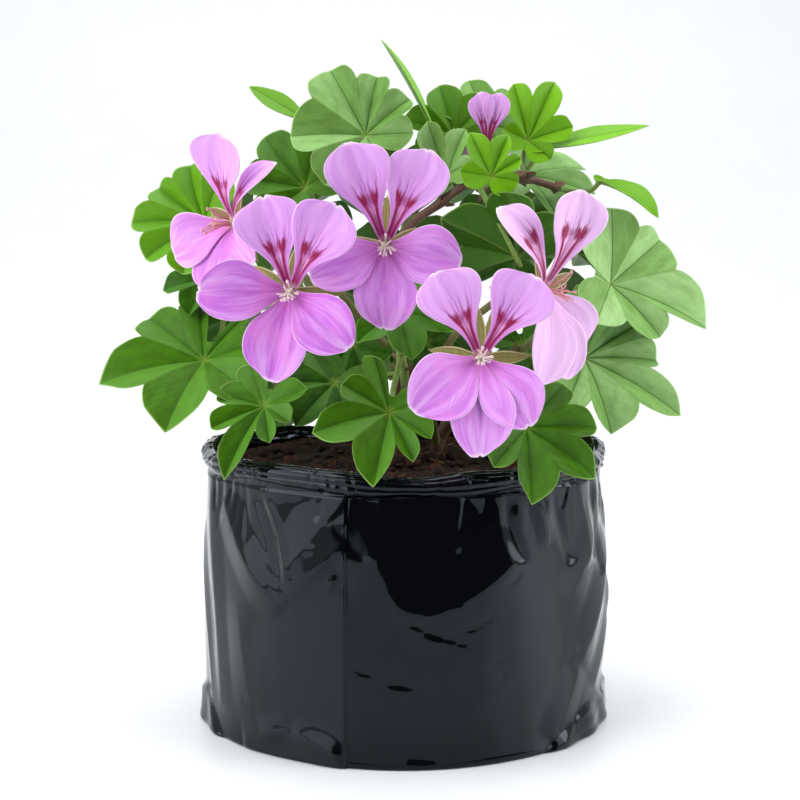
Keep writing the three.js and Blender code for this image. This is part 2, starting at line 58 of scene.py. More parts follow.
INNER_HEIGHTS = [77.4, 76.0, 74.0, 66.0, 40.0, BASE_FILM]
CUFF_TURNS = np.linspace(-76.0, 98.0, 28)
CUFF_PLEATS = 170
LONG_CREASES = 46
SHORT_NICKS = 30
GATHERED_PLEATS = 70
# Angles are in degrees round the bag from its right side. In the functions below, past is how
# far an angle lies past the seam.
# Creases on the side with the blooms: where each starts and ends (angle, height), how far it
# stands out or in, how broad it is, and how far it bows
FRONT_CREASES = [
    (-133, 73, -123, 50, -0.9, 3.2, 1.6),
    (-130, 72, -121, 49, 0.7, 2.4, 1.2),
    (-105, 75, -124, 50, 1.2, 9.0, 0.0),
    (-124, 44, -105, 62, 0.8, 8.0, 0.0),
    (-149, 70, -123, 42, 1.5, 8.0, -2.0),
    (-159, 74, -151, 8, 1.0, 7.0, 1.0),
    (-168, 60, -158, 6, 0.8, 5.0, -1.0),
    (-141, 42, -133, 6, 0.7, 9.0, 0.0),
    (-138, 2, -121, 8, 1.2, 6.0, 1.0),
    (-121, 8, -105, 2, 1.2, 6.0, 0.6),
    (-103, 70, -91, 40, 1.0, 11.0, 1.0),
    (-91, 40, -57, 57, 1.0, 11.0, -2.0),
    (-98, 75, -96, 64, -0.5, 4.0, 0.0),
    (-74, 75, -69, 66, -0.5, 3.0, 0.5),
    (-62, 74, -57, 55, -0.8, 3.5, -1.5),
    (-55, 75, -48, 58, 1.0, 4.0, 1.5),
    (-45, 75, -37, 52, -0.9, 3.5, -1.5),
    (-36, 76, -30, 50, 1.1, 5.0, 1.0),
    (-26, 76, -20, 46, -1.0, 4.0, -1.5),
    (-17, 74, -7, 52, 0.9, 4.0, 1.0),
    (-20, 74, -38, 42, 1.0, 8.0, 1.0),
    (-12, 58, -34, 22, 1.6, 9.0, 1.5),
    (-34, 22, -47, 3, 1.1, 7.0, 0.0),
    (-5, 42, -24, 13, 1.3, 7.0, 1.0),
    (2, 66, -10, 34, 0.9, 5.0, 0.5),
    (6, 40, -6, 14, 0.8, 5.0, 0.5),
    (-47, 2, -30, 9, 0.55, 1.6, 0.0),
    (-30, 9, -14, 9, 0.55, 1.6, 0.3),
    (-14, 9, -4, 12, 0.55, 1.6, 0.3),
    (-44, 1.5, -20, 5, 0.5, 2.0, 0.6),
    (-90, 41, -80, 37, -0.35, 1.6, 0.4),
    (-79, 37, -66, 41, -0.35, 1.6, -0.5),
    (-86, 38, -72, 34, -0.3, 1.8, 0.3),
    (-104, 28, -97, 26, -0.3, 1.5, 0.0),
    (-95, 24, -87, 23, -0.4, 1.6, 0.3),
    (-68, 27, -60, 30, -0.25, 1.6, 0.0),
    (-90, 4, -82, 3, -0.3, 1.4, 0.0),
    (-76, 14, -63, 19, 0.3, 4.0, 1.0),
]
# The corners of the flat base fold up against the side: angle and height along the fold
BASE_FOLDS = [
    ([-50, -46, -30, -14, -3, 5, 14], [0.2, 3.0, 9.5, 9.0, 11.5, 8.0, 0.2]),
    ([-190, -178, -166, -157, -147], [0.2, 9.0, 12.0, 6.5, 0.2]),
    ([70, 78, 95, 112, 124], [0.2, 7.0, 10.0, 5.0, 0.2]),
]


def wave(angle):
    """A smooth wave, with its angle in degrees"""
    return np.sin(np.radians(angle))


def film_radius(past, height):
    """How far the film stands from the middle of the bag, before its creases"""
    angle = past + SEAM_ANGLE
    lap = SEAM_STEP * np.maximum(0.0, 1.0 - (360.0 - past) / 16.0)
    rise = height / BAG_TOP
    slack = 0.5 * wave(3 * angle + 150 * rise) + 0.4 * wave(7 * angle - 230 * rise)
    tuck = 0.8 * wave(11 * angle + 40) * np.maximum(0.0, rise - 0.4)
    flare = BASE_FLARE * np.exp(-height / 5.0)
    middle = np.sin(np.pi * np.minimum(1.0, rise + 0.12))
    return BAG_RADIUS + (BAG_BELLY + slack) * middle + tuck + flare + lap


def crease(past, height, line):
    """How far one straight or bowed crease moves the film, sharpest along its line"""
    angle_from, height_from, angle_to, height_to, depth, breadth, bow = line
    per_degree = BAG_RADIUS * math.pi / 180.0
    run = (angle_to - angle_from) * per_degree
    rise = height_to - height_from
    length = math.hypot(run, rise)
    turn = (past + SEAM_ANGLE - angle_from + 180.0) % 360.0 - 180.0
    across = turn * per_degree
    up = height - height_from
    share = (across * run + up * rise) / length**2
    inside = np.clip(share, 0.0, 1.0)
    off = (up * run - across * rise) / length - bow * np.sin(np.pi * inside)
    ends = np.sqrt(np.clip(4.0 * share * (1.0 - share), 0.0, 1.0))
    near = np.sqrt(off**2 + 0.05)
    return depth * ends * np.maximum(0.0, 1.0 - near / breadth) ** 1.2


def film_creases():
    """The front creases, then long ones elsewhere, short nicks and the pleats below the cuff"""
    rng = np.random.default_rng(11)
    lines = list(FRONT_CREASES)
    for _ in range(LONG_CREASES):
        start = rng.uniform(0, 178)
        low = rng.uniform(4, 60)
        slant = rng.choice([-1, 1]) * rng.uniform(4, 26)
        tall = rng.uniform(8, 34)
        depth = rng.choice([-0.6, 1.0]) * rng.uniform(0.4, 1.0)
        top = min(74.0, low + tall)
        lines.append((start, low, start + slant, top, depth, rng.uniform(2.5, 8), rng.uniform(-2, 2)))
    for _ in range(SHORT_NICKS):
        start = rng.uniform(-175, 185)
        low = rng.uniform(6, 62)
        slant = rng.uniform(-6, 6)
        depth = rng.choice([-0.25, 0.2])
        lines.append((start, low, start + slant, low + rng.uniform(-4, 5), depth, 1.6, 0.3))
    for _ in range(GATHERED_PLEATS):
        start = rng.uniform(-180, 180)
        depth = rng.uniform(-0.5, 0.4)
        foot = 73.0 - rng.uniform(4, 15)
        lines.append((start, 77, start + rng.uniform(-3, 3), foot, depth, rng.uniform(1.3, 2.6), 0.3))
    return lines


def film_wall(past, height):
    """How far the film stands from the middle with its creases and the folds at its base"""
    radius = film_radius(past, height)
    for line in film_creases():
        radius = radius + crease(past, height, line)
    angle = past + SEAM_ANGLE
    for angles, tops in BASE_FOLDS:
        for turn in (-360.0, 0.0, 360.0):
            edge = np.interp(angle + turn, angles, tops, left=-5.0, right=-5.0)
            folded = np.clip((edge - height) / FOLD_EDGE, 0.0, 1.0)
            pinch = 0.35 * wave(23 * angle + 8 * height) * folded
            radius = radius + FOLD_STEP * folded + pinch
    return radius


def cuff_swell(angle):
    """How thick the rolled cuff is on its way round"""
    return CUFF_RADIUS * (1 + 0.12 * wave(9 * angle) + 0.08 * wave(14 * angle + 50))


def cuff_pleats(past, turn):
    """Small pleats across the rolled cuff, and the fold line that runs round it"""
    rng = np.random.default_rng(5)
    angle = past + SEAM_ANGLE
    lift = np.zeros_like(angle + turn)
    for _ in range(CUFF_PLEATS):
        place = rng.uniform(-180, 180)
        slant = rng.uniform(-0.035, 0.035)
        breadth = rng.uniform(0.8, 2.0)
        depth = rng.uniform(-0.5, 0.42)
        middle = rng.uniform(-60, 60)
        span = rng.uniform(45, 110)
        off = ((angle - place - slant * turn + 180.0) % 360.0 - 180.0) * 1.02
        near = np.maximum(0.0, 1.0 - np.abs(off) / breadth) ** 1.2
        lift = lift + depth * near * np.clip(1.3 - np.abs(turn - middle) / span, 0.0, 1.0)
    fold = -8.0 + 7.0 * wave(2 * angle + 20) + 4.0 * wave(9 * angle)
    lift = lift - 0.55 * np.exp(-(((turn - fold) / 8.0) ** 2))
    return lift - 0.3 * np.exp(-(((turn - fold - 52.0) / 7.0) ** 2))


def weave_mesh(name, points, quads, triangles, marks, finish):
    """A named mesh from corner points in millimetres, with numbers for its finish to use"""
    mesh = bpy.data.meshes.new(name)
    mesh.vertices.add(len(points))
    mesh.vertices.foreach_set("co", (np.asarray(points) * 0.001).astype(np.float32).ravel())
    quads = np.asarray(quads, dtype=np.int32).reshape(-1, 4)
    triangles = np.asarray(triangles, dtype=np.int32).reshape(-1, 3)
    corners = np.concatenate([quads.ravel(), triangles.ravel()])
    mesh.loops.add(len(corners))
    mesh.loops.foreach_set("vertex_index", corners)
    mesh.polygons.add(len(quads) + len(triangles))
    starts = np.concatenate([
        np.arange(len(quads)) * 4,
        len(quads) * 4 + np.arange(len(triangles)) * 3,
    ]).astype(np.int32)
    mesh.polygons.foreach_set("loop_start", starts)
    mesh.update(calc_edges=True)
    mesh.validate()
    mesh.polygons.foreach_set("use_smooth", np.ones(len(mesh.polygons), dtype=bool))
    for mark, values in marks.items():
        layer = mesh.attributes.new(mark, "FLOAT", "POINT")
        layer.data.foreach_set("value", np.asarray(values, dtype=np.float32))
    mesh.materials.append(finish)
    piece = bpy.data.objects.new(name, mesh)
    bpy.context.scene.collection.objects.link(piece)
    return piece


def rings_to_quads(rings, columns):
    """Quads between rings of points that each close on themselves"""
    i, j = np.meshgrid(np.arange(rings - 1), np.arange(columns), indexing="ij")
    a = i * columns + j
    b = i * columns + (j + 1) % columns
    return np.stack([a, b, b + columns, a + columns], axis=-1).reshape(-1, 4)


def fan(middle, first, count, inwards=False):
    """Triangles from a middle point to a closed ring of points"""
    here = first + np.arange(count)
    after = first + (np.arange(count) + 1) % count
    pair = [after, here] if inwards else [here, after]
    return np.stack([np.full(count, middle), *pair], axis=-1)


def shade(red, green, blue):
    """A colour as it looks on a screen, 0 to 255, as the amounts of light that it reflects"""
    parts = []
    for value in (red, green, blue):
        share = value / 255.0
        parts.append(share / 12.92 if share <= 0.04045 else ((share + 0.055) / 1.055) ** 2.4)
    return (*parts, 1.0)


class Flow:
    """One number on its way through a finish, so that sums can be written plainly"""

    def __init__(self, tree, socket):
        self.tree = tree
        self.socket = socket

    def work(self, kind, *others):
        node = self.tree.nodes.new("ShaderNodeMath")
        node.operation = kind
        self.tree.links.new(self.socket, node.inputs[0])
        for place, other in enumerate(others, start=1):
            if isinstance(other, Flow):
                self.tree.links.new(other.socket, node.inputs[place])
            else:
                node.inputs[place].default_value = other
        return Flow(self.tree, node.outputs[0])

    def __add__(self, other):
        return self.work("ADD", other)

    def __sub__(self, other):
        return self.work("SUBTRACT", other)

    def __mul__(self, other):
        return self.work("MULTIPLY", other)

    def __truediv__(self, other):
        return self.work("DIVIDE", other)

    def rest(self):
        """What is left of one"""
        return self * -1.0 + 1.0

    def size(self):
        return self.work("ABSOLUTE")

    def ramp(self, low, high):
        """Nought up to low, one from high, and a soft step between"""
        node = self.tree.nodes.new("ShaderNodeMapRange")
        node.interpolation_type = "SMOOTHSTEP"
        self.tree.links.new(self.socket, node.inputs["Value"])
        for label, value in (("From Min", low), ("From Max", high)):
            if isinstance(value, Flow):
                self.tree.links.new(value.socket, node.inputs[label])
            else:
                node.inputs[label].default_value = value
        return Flow(self.tree, node.outputs["Result"])

    def drop(self, low, high):
        """One up to low, nought from high"""
        return self.ramp(low, high).rest()


class Finish:
    """A surface finish in the making"""

    def __init__(self, name, **fixed):
        self.material = bpy.data.materials.new(name)
        self.material.use_nodes = True
        self.tree = self.material.node_tree
        self.skin = self.tree.nodes["Principled BSDF"]
        for label, value in fixed.items():
            self.skin.inputs[label.replace("_", " ")].default_value = value
        self.place = self.tree.nodes.new("ShaderNodeTexCoord").outputs["Object"]

    def mark(self, name):
        """A number that the mesh carries from point to point"""
        node = self.tree.nodes.new("ShaderNodeAttribute")
        node.attribute_name = name
        return Flow(self.tree, node.outputs["Fac"])

    def marks(self, *names):
        return [self.mark(name) for name in names]

    def noise(self, place, scale, detail, rough, warp=0.0):
        node = self.tree.nodes.new("ShaderNodeTexNoise")
        settings = {"Scale": scale, "Detail": detail, "Roughness": rough, "Distortion": warp}
        for label, value in settings.items():
            node.inputs[label].default_value = value
        self.tree.links.new(place, node.inputs["Vector"])
        return Flow(self.tree, node.outputs["Fac"])

    def grain(self, scale, detail=3.0, rough=0.55, stretch=(1.0, 1.0, 1.0), warp=0.0):
        """Soft random grain, with scale in lumps to the metre"""
        mapping = self.tree.nodes.new("ShaderNodeMapping")
        mapping.inputs["Scale"].default_value = stretch
        self.tree.links.new(self.place, mapping.inputs["Vector"])
        return self.noise(mapping.outputs["Vector"], scale, detail, rough, warp)

    def cells(self, scale):
        """How far each point is from the middle of its small cell"""
        node = self.tree.nodes.new("ShaderNodeTexVoronoi")
        node.inputs["Scale"].default_value = scale
        self.tree.links.new(self.place, node.inputs["Vector"])
        return Flow(self.tree, node.outputs["Distance"])

    def streaks(self, across, along, seed):
        """Grain drawn out along a petal or a blade, by where each point lies on it"""
        joined = self.tree.nodes.new("ShaderNodeCombineXYZ")
        for place, flow in enumerate((across, along, seed)):
            self.tree.links.new(flow.socket, joined.inputs[place])
        return self.noise(joined.outputs[0], 1.0, 3.0, 0.6)

    def blend(self, share, first, second):
        """First colour where share is nought, second where it is one"""
        node = self.tree.nodes.new("ShaderNodeMix")
        node.data_type = "RGBA"
        self.tree.links.new(share.socket, node.inputs[0])
        for place, colour in ((6, first), (7, second)):
            if isinstance(colour, tuple):
                node.inputs[place].default_value = colour
            else:
                self.tree.links.new(colour, node.inputs[place])
        return node.outputs[2]

    def colour(self, socket):
        self.tree.links.new(socket, self.skin.inputs["Base Color"])

    def roughness(self, flow):
        self.tree.links.new(flow.socket, self.skin.inputs["Roughness"])

    def relief(self, flow, depth, strength=1.0):
        """Fine relief, with depth in metres"""
        node = self.tree.nodes.new("ShaderNodeBump")
        node.inputs["Strength"].default_value = strength
        node.inputs["Distance"].default_value = depth
        self.tree.links.new(flow.socket, node.inputs["Height"])
        self.tree.links.new(node.outputs["Normal"], self.skin.inputs["Normal"])


def black_film():
    """Glossy black film: clean, stretched unevenly, with a little dust on it"""
    # The blue tint of the film's reflections is painted: it colours reflected light that is near white
    film = Finish("black_film", IOR=1.34, Specular_Tint=(0.74, 0.84, 1.0, 1.0))
    stretched = film.grain(110.0, 3.0, 0.55, (1.0, 1.0, 0.4), 0.4)
    fine = film.grain(900.0, 3.0, 0.5, (1.0, 1.0, 0.5))
    dust = film.grain(420.0, 6.0, 0.7)
    dusty = dust.ramp(0.6, 0.85) * 0.4
    clean = film.blend(stretched, shade(5, 6, 8), shade(9, 10, 13))
    film.colour(film.blend(dusty, clean, shade(24, 24, 26)))
    film.roughness(stretched * 0.06 + dusty * 0.15 + 0.035)
    film.relief(stretched * 0.8 + fine * 0.05, 0.00016, 0.5)
    return film.material


def bag_mesh():
    """The film from its base up the wall, over the cuff and down the inside again"""
    past = np.concatenate([[0.0], np.linspace(0.5, 359.5, FILM_COLUMNS - 2), [359.88]])
    columns = len(past)
    spin, height = np.meshgrid(past, WALL_HEIGHTS)
    radius = film_wall(spin, height)
    radius[0] -= 0.9
    radius[1] -= 0.25
    angle = past + SEAM_ANGLE
    sag = 0.7 * wave(2 * angle + 60) + 0.5 * wave(5 * angle)
    radii = [radius]
    heights = [height]
    for turn in CUFF_TURNS:
        swell = cuff_swell(angle) + cuff_pleats(past, np.full(columns, turn))
        up = math.sin(math.radians(turn))
        radii.append((CUFF_CENTRE + swell * math.cos(math.radians(turn)))[None])
        heights.append((CUFF_HEIGHT + sag + swell * (1.0 - 0.1 * abs(up)) * up)[None])
    for step, level in enumerate(INNER_HEIGHTS):
        ripple = 0.22 * wave(31 * angle + 40 * step) + 0.2 * wave(17 * angle)
        radii.append((MOUTH_RADIUS + ripple * (level > 60))[None])
        heights.append(np.full((1, columns), level))
    radius = np.concatenate(radii)
    height = np.concatenate(heights)
    turn = np.radians(angle)[None]
    points = np.stack([radius * np.cos(turn), radius * np.sin(turn), height], axis=-1).reshape(-1, 3)
    quads = rings_to_quads(len(radius), columns)
    count = len(points)
    points = np.concatenate([points, [[0, 0, 0.0], [0, 0, BASE_FILM]]])
    base = fan(count, 0, columns, inwards=True)
    inside = fan(count + 1, count - columns, columns)
    return points, quads, np.concatenate([base, inside])


bag = weave_mesh("grow_bag_film", *bag_mesh(), {}, black_film())
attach(bag, "root")
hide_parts("grow_bag")

# The potting soil: moist peat and composted bark, poured in and pressed down by watering until
# it lies just below the cuff. Crumbs, clods and shreds of bark lie loose on top.
SOIL_TOP = 75.5
SOIL_RADIUS = 55.1
SOIL_BOTTOM = 1.8
SOIL_CELLS = 168
CRUMBS = 3000
CLODS = 240
BARK_SHREDS = 150


def crumbly_top(side, rng):
    """Heights and tints of the soil on a square grid, from broad hollows and round crumbs"""
    places = np.linspace(-SOIL_RADIUS, SOIL_RADIUS, side)
    x, y = np.meshgrid(places, places, indexing="ij")
    level = 0.7 * np.sin(x / 11.0 + 0.6) * np.sin(y / 9.0) + 0.4 * np.sin(x / 4.1 + y / 5.3)
    tint = np.full_like(x, 0.3)
    step = places[1] - places[0]
    for _ in range(CRUMBS):
        middle = rng.uniform(-SOIL_RADIUS, SOIL_RADIUS, 2)
        size = 0.5 + 1.5 * rng.random() ** 2.5
        colour = rng.random()
        low = np.maximum(((middle - size + SOIL_RADIUS) / step).astype(int), 0)
        high = np.minimum(((middle + size + SOIL_RADIUS) / step).astype(int) + 2, side)
        window = (slice(low[0], high[0]), slice(low[1], high[1]))
        off = (x[window] - middle[0]) ** 2 + (y[window] - middle[1]) ** 2
        bump = np.sqrt(np.maximum(0.0, size**2 - off)) * 0.75
        base = 0.7 * math.sin(middle[0] / 11.0 + 0.6) * math.sin(middle[1] / 9.0)
        raised = base + bump
        taller = (raised > level[window]) & (off < size**2)
        level[window] = np.where(taller, raised, level[window])
        tint[window] = np.where(taller, colour, tint[window])
    return level, tint


def clod(rng, at, size):
    """One irregular lump of peat"""
    turns = 9
    rows = 6
    points = []
    rough = rng.uniform(0.72, 1.2, (rows + 1, turns))
    squash = rng.uniform(0.55, 1.0)
    spin = rng.uniform(0, math.tau)
    for i in range(rows + 1):
        tall = math.pi * (i + 0.35) / (rows + 0.7)
        for j in range(turns):
            turn = spin + math.tau * j / turns
            reach = size * rough[i, j]
            flat = math.sin(tall) * reach
            up = -math.cos(tall) * reach * squash
            points.append((at[0] + flat * math.cos(turn), at[1] + flat * math.sin(turn), at[2] + up))
    quads = rings_to_quads(rows + 1, turns)
    top = rows * turns
    caps = [(0, j + 1, j) for j in range(1, turns - 1)]
    caps += [(top, top + j, top + j + 1) for j in range(1, turns - 1)]
    return np.array(points), quads, np.array(caps)


def shred(rng, at, length, half):
    """One flat shred of bark or root, lying as it fell"""
    heading = rng.uniform(0, math.tau)
    tilt = rng.uniform(-0.35, 0.35)
    run = np.array([math.cos(heading), math.sin(heading), tilt])
    flat = np.array([-math.sin(heading), math.cos(heading), rng.uniform(-0.3, 0.3)])
    points = []
    bend = rng.uniform(-0.25, 0.25)
    for i in range(6):
        share = i / 5.0 - 0.5
        middle = np.array(at) + run * share * length + flat * bend * length * (share**2 - 0.1)
        wide = half * (1.0 - 1.2 * share**2) * rng.uniform(0.8, 1.2)
        for across, up in ((-1, 0), (0, -0.5), (1, 0), (0, 0.5)):
            points.append(middle + flat * wide * across + np.array([0, 0, half * up]))
    quads = rings_to_quads(6, 4)
    caps = [(0, 2, 1), (0, 3, 2), (20, 21, 22), (20, 22, 23)]
    return np.array(points), quads, np.array(caps)


class Growth:
    """Shapes of one finish that lie or grow together, gathered into one mesh"""

    def __init__(self):
        self.points = []
        self.quads = []
        self.triangles = []
        self.marks = []
        self.count = 0

    def add(self, points, quads, triangles, **marks):
        self.points.append(points)
        self.quads.append(np.asarray(quads).reshape(-1, 4) + self.count)
        self.triangles.append(np.asarray(triangles).reshape(-1, 3) + self.count)
        whole = np.ones(len(points))
        self.marks.append({name: value * whole for name, value in marks.items()})
        self.count += len(points)

    def piece(self, name, finish):
        marks = {}
        for label in self.marks[0]:
            marks[label] = np.concatenate([mark[label] for mark in self.marks])
        points = np.concatenate(self.points)
        quads = np.concatenate(self.quads)
        triangles = np.concatenate(self.triangles)
        return weave_mesh(name, points, quads, triangles, marks, finish)


def potting_soil():
    """Damp peat with red-brown bark and a few straw-coloured shreds"""
    soil = Finish("potting_soil", IOR=1.4)
    tint = soil.mark("tint")
    grit = soil.grain(1500.0, 5.0, 0.7)
    patches = soil.grain(90.0, 3.0, 0.6)
    dark = soil.blend(grit.ramp(0.3, 0.75), shade(24, 14, 9), shade(62, 38, 24))
    red = soil.blend(grit, shade(58, 30, 17), shade(94, 52, 29))
    straw = soil.blend(grit, shade(104, 74, 42), shade(146, 110, 70))
    mixed = soil.blend(tint.ramp(0.62, 0.8), dark, red)
    mixed = soil.blend(tint.ramp(0.95, 0.98), mixed, straw)
    damp = patches.ramp(0.4, 0.65) * 0.35
    soil.colour(soil.blend(damp, mixed, shade(16, 10, 7)))
    soil.roughness(grit * 0.25 + 0.68)
    soil.relief(grit, 0.0004, 0.9)
    return soil.material


def soil_piece():
    """The plug of soil, with loose clods and shreds on its crumbly top"""
    rng = np.random.default_rng(21)
    heap = Growth()
    side = SOIL_CELLS + 1
    level, tint = crumbly_top(side, rng)
    share = np.linspace(-1.0, 1.0, side)
    u, v = np.meshgrid(share, share, indexing="ij")
    x = SOIL_RADIUS * u * np.sqrt(1.0 - 0.5 * v**2)
    y = SOIL_RADIUS * v * np.sqrt(1.0 - 0.5 * u**2)
    row = np.clip(((x / SOIL_RADIUS + 1) * 0.5 * SOIL_CELLS).round().astype(int), 0, SOIL_CELLS)
    column = np.clip(((y / SOIL_RADIUS + 1) * 0.5 * SOIL_CELLS).round().astype(int), 0, SOIL_CELLS)
    out = np.hypot(x, y) / SOIL_RADIUS
    height = SOIL_TOP + level[row, column] - 1.0 * np.clip((out - 0.9) / 0.1, 0, 1)
    points = np.stack([x, y, height], axis=-1).reshape(-1, 3)
    i, j = np.meshgrid(np.arange(SOIL_CELLS), np.arange(SOIL_CELLS), indexing="ij")
    a = i * side + j
    quads = np.stack([a, a + side, a + side + 1, a + 1], axis=-1).reshape(-1, 4)
    last = side - 1
    rim = [(k, 0) for k in range(last)] + [(last, k) for k in range(last)]
    rim += [(k, last) for k in range(last, 0, -1)] + [(0, k) for k in range(last, 0, -1)]
    rim = np.array([i * side + j for i, j in rim])
    lower = points[rim].copy()
    lower[:, 2] = SOIL_BOTTOM
    first = len(points)
    ring = np.arange(len(rim))
    after = (ring + 1) % len(rim)
    walls = np.stack([rim, first + ring, first + after, rim[after]], axis=-1)
    bottom = fan(first + len(rim), first, len(rim), inwards=True)
    points = np.concatenate([points, lower, [[0, 0, SOIL_BOTTOM]]])
    tints = np.concatenate([tint[row, column].ravel(), np.full(len(rim) + 1, 0.3)])
    heap.add(points, np.concatenate([quads, walls]), bottom, tint=tints)
    for _ in range(CLODS):
        turn = rng.uniform(0, math.tau)
        reach = (SOIL_RADIUS - 3.5) * math.sqrt(rng.random())
        size = 0.6 + 1.6 * rng.random() ** 2
        at = (reach * math.cos(turn), reach * math.sin(turn), SOIL_TOP + 0.6 + 0.35 * size)
        heap.add(*clod(rng, at, size), tint=rng.random() * 0.9)
    for _ in range(BARK_SHREDS):
        turn = rng.uniform(0, math.tau)
        reach = (SOIL_RADIUS - 5.0) * math.sqrt(rng.random())
        at = (reach * math.cos(turn), reach * math.sin(turn), SOIL_TOP + 1.3)
        length = rng.uniform(2.0, 7.5)
        heap.add(*shred(rng, at, length, rng.uniform(0.2, 0.7)), tint=rng.choice([0.75, 0.8, 0.85, 1.0]))
    return heap.piece("potting_soil_crumbs", potting_soil())


soil = soil_piece()
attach(soil, "root")
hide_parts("soil")

# The leafy stems: nine shoots from one crown, brown and woody low down and green and jointed
# towards their ends. Each joint carries a leaf on its stalk, with a pair of papery scales where
# the stalk leaves the stem. The blades are thick and waxy, with shallow ivy-like lobes.
STEM_FOOT_RADIUS = 1.95
STEM_TIP_RADIUS = 1.1
STEM_RINGS = 90
STEM_SIDES = 10
JOINT_SWELL = 0.3
JOINT_LENGTH = 1.6
LEAF_STALK_FOOT = 0.92
LEAF_STALK_TIP = 0.7
LEAF_STALK_RINGS = 22
LEAF_STALK_REACH = 8.0
SCALE_CURL = 0.2
SCALE_THICKNESS = 0.16
BLADE_THICKNESS = 0.55
# How deep a blade is folded between its lobes and how high it is domed, as shares of its reach
GROWN_FORM = (0.24, 0.26)
FLAT_FORM = (0.06, 0.03)
# The notch at a blade's stalk: its angle from the tip, and its depth as a share of the blade
NOTCH_ANGLE = 168.0
NOTCH_SHARE = 0.2
PLAIN_NOTCH_SHARE = 0.11
# How far the bays between lobes reach, as a share of the shorter lobe
BAY_SHARE = 0.7
BROAD_BAY_SHARE = 0.82
PLAIN_BAY_SHARE = 1.0
POINTED_TIP = 0.68
ROUNDED_TIP = 0.36
# Where the points of a blade lie: across each half lobe, and from the stalk out to the margin
ACROSS_LOBE = np.array([0.0, 0.05, 0.12, 0.22, 0.34, 0.46, 0.58, 0.7, 0.82, 0.92])
OUTWARDS = np.array([0.05, 0.12, 0.2, 0.29, 0.38, 0.47, 0.56, 0.65, 0.74, 0.82, 0.89, 0.945, 0.98, 1.0])
UMBEL_RADIUS = 2.0
UMBEL_BRACTS = 7
UMBEL_LEFT = (-25, -34, 143)
UMBEL_RIGHT = (26, -36, 126)
UMBEL_TOP = (25, 8, 156)


def plain_lobes(size):
    """The five even lobes of an ordinary leaf"""
    return [(-112, 0.74 * size), (-57, 0.93 * size), (0, size), (57, 0.93 * size), (112, 0.74 * size)]
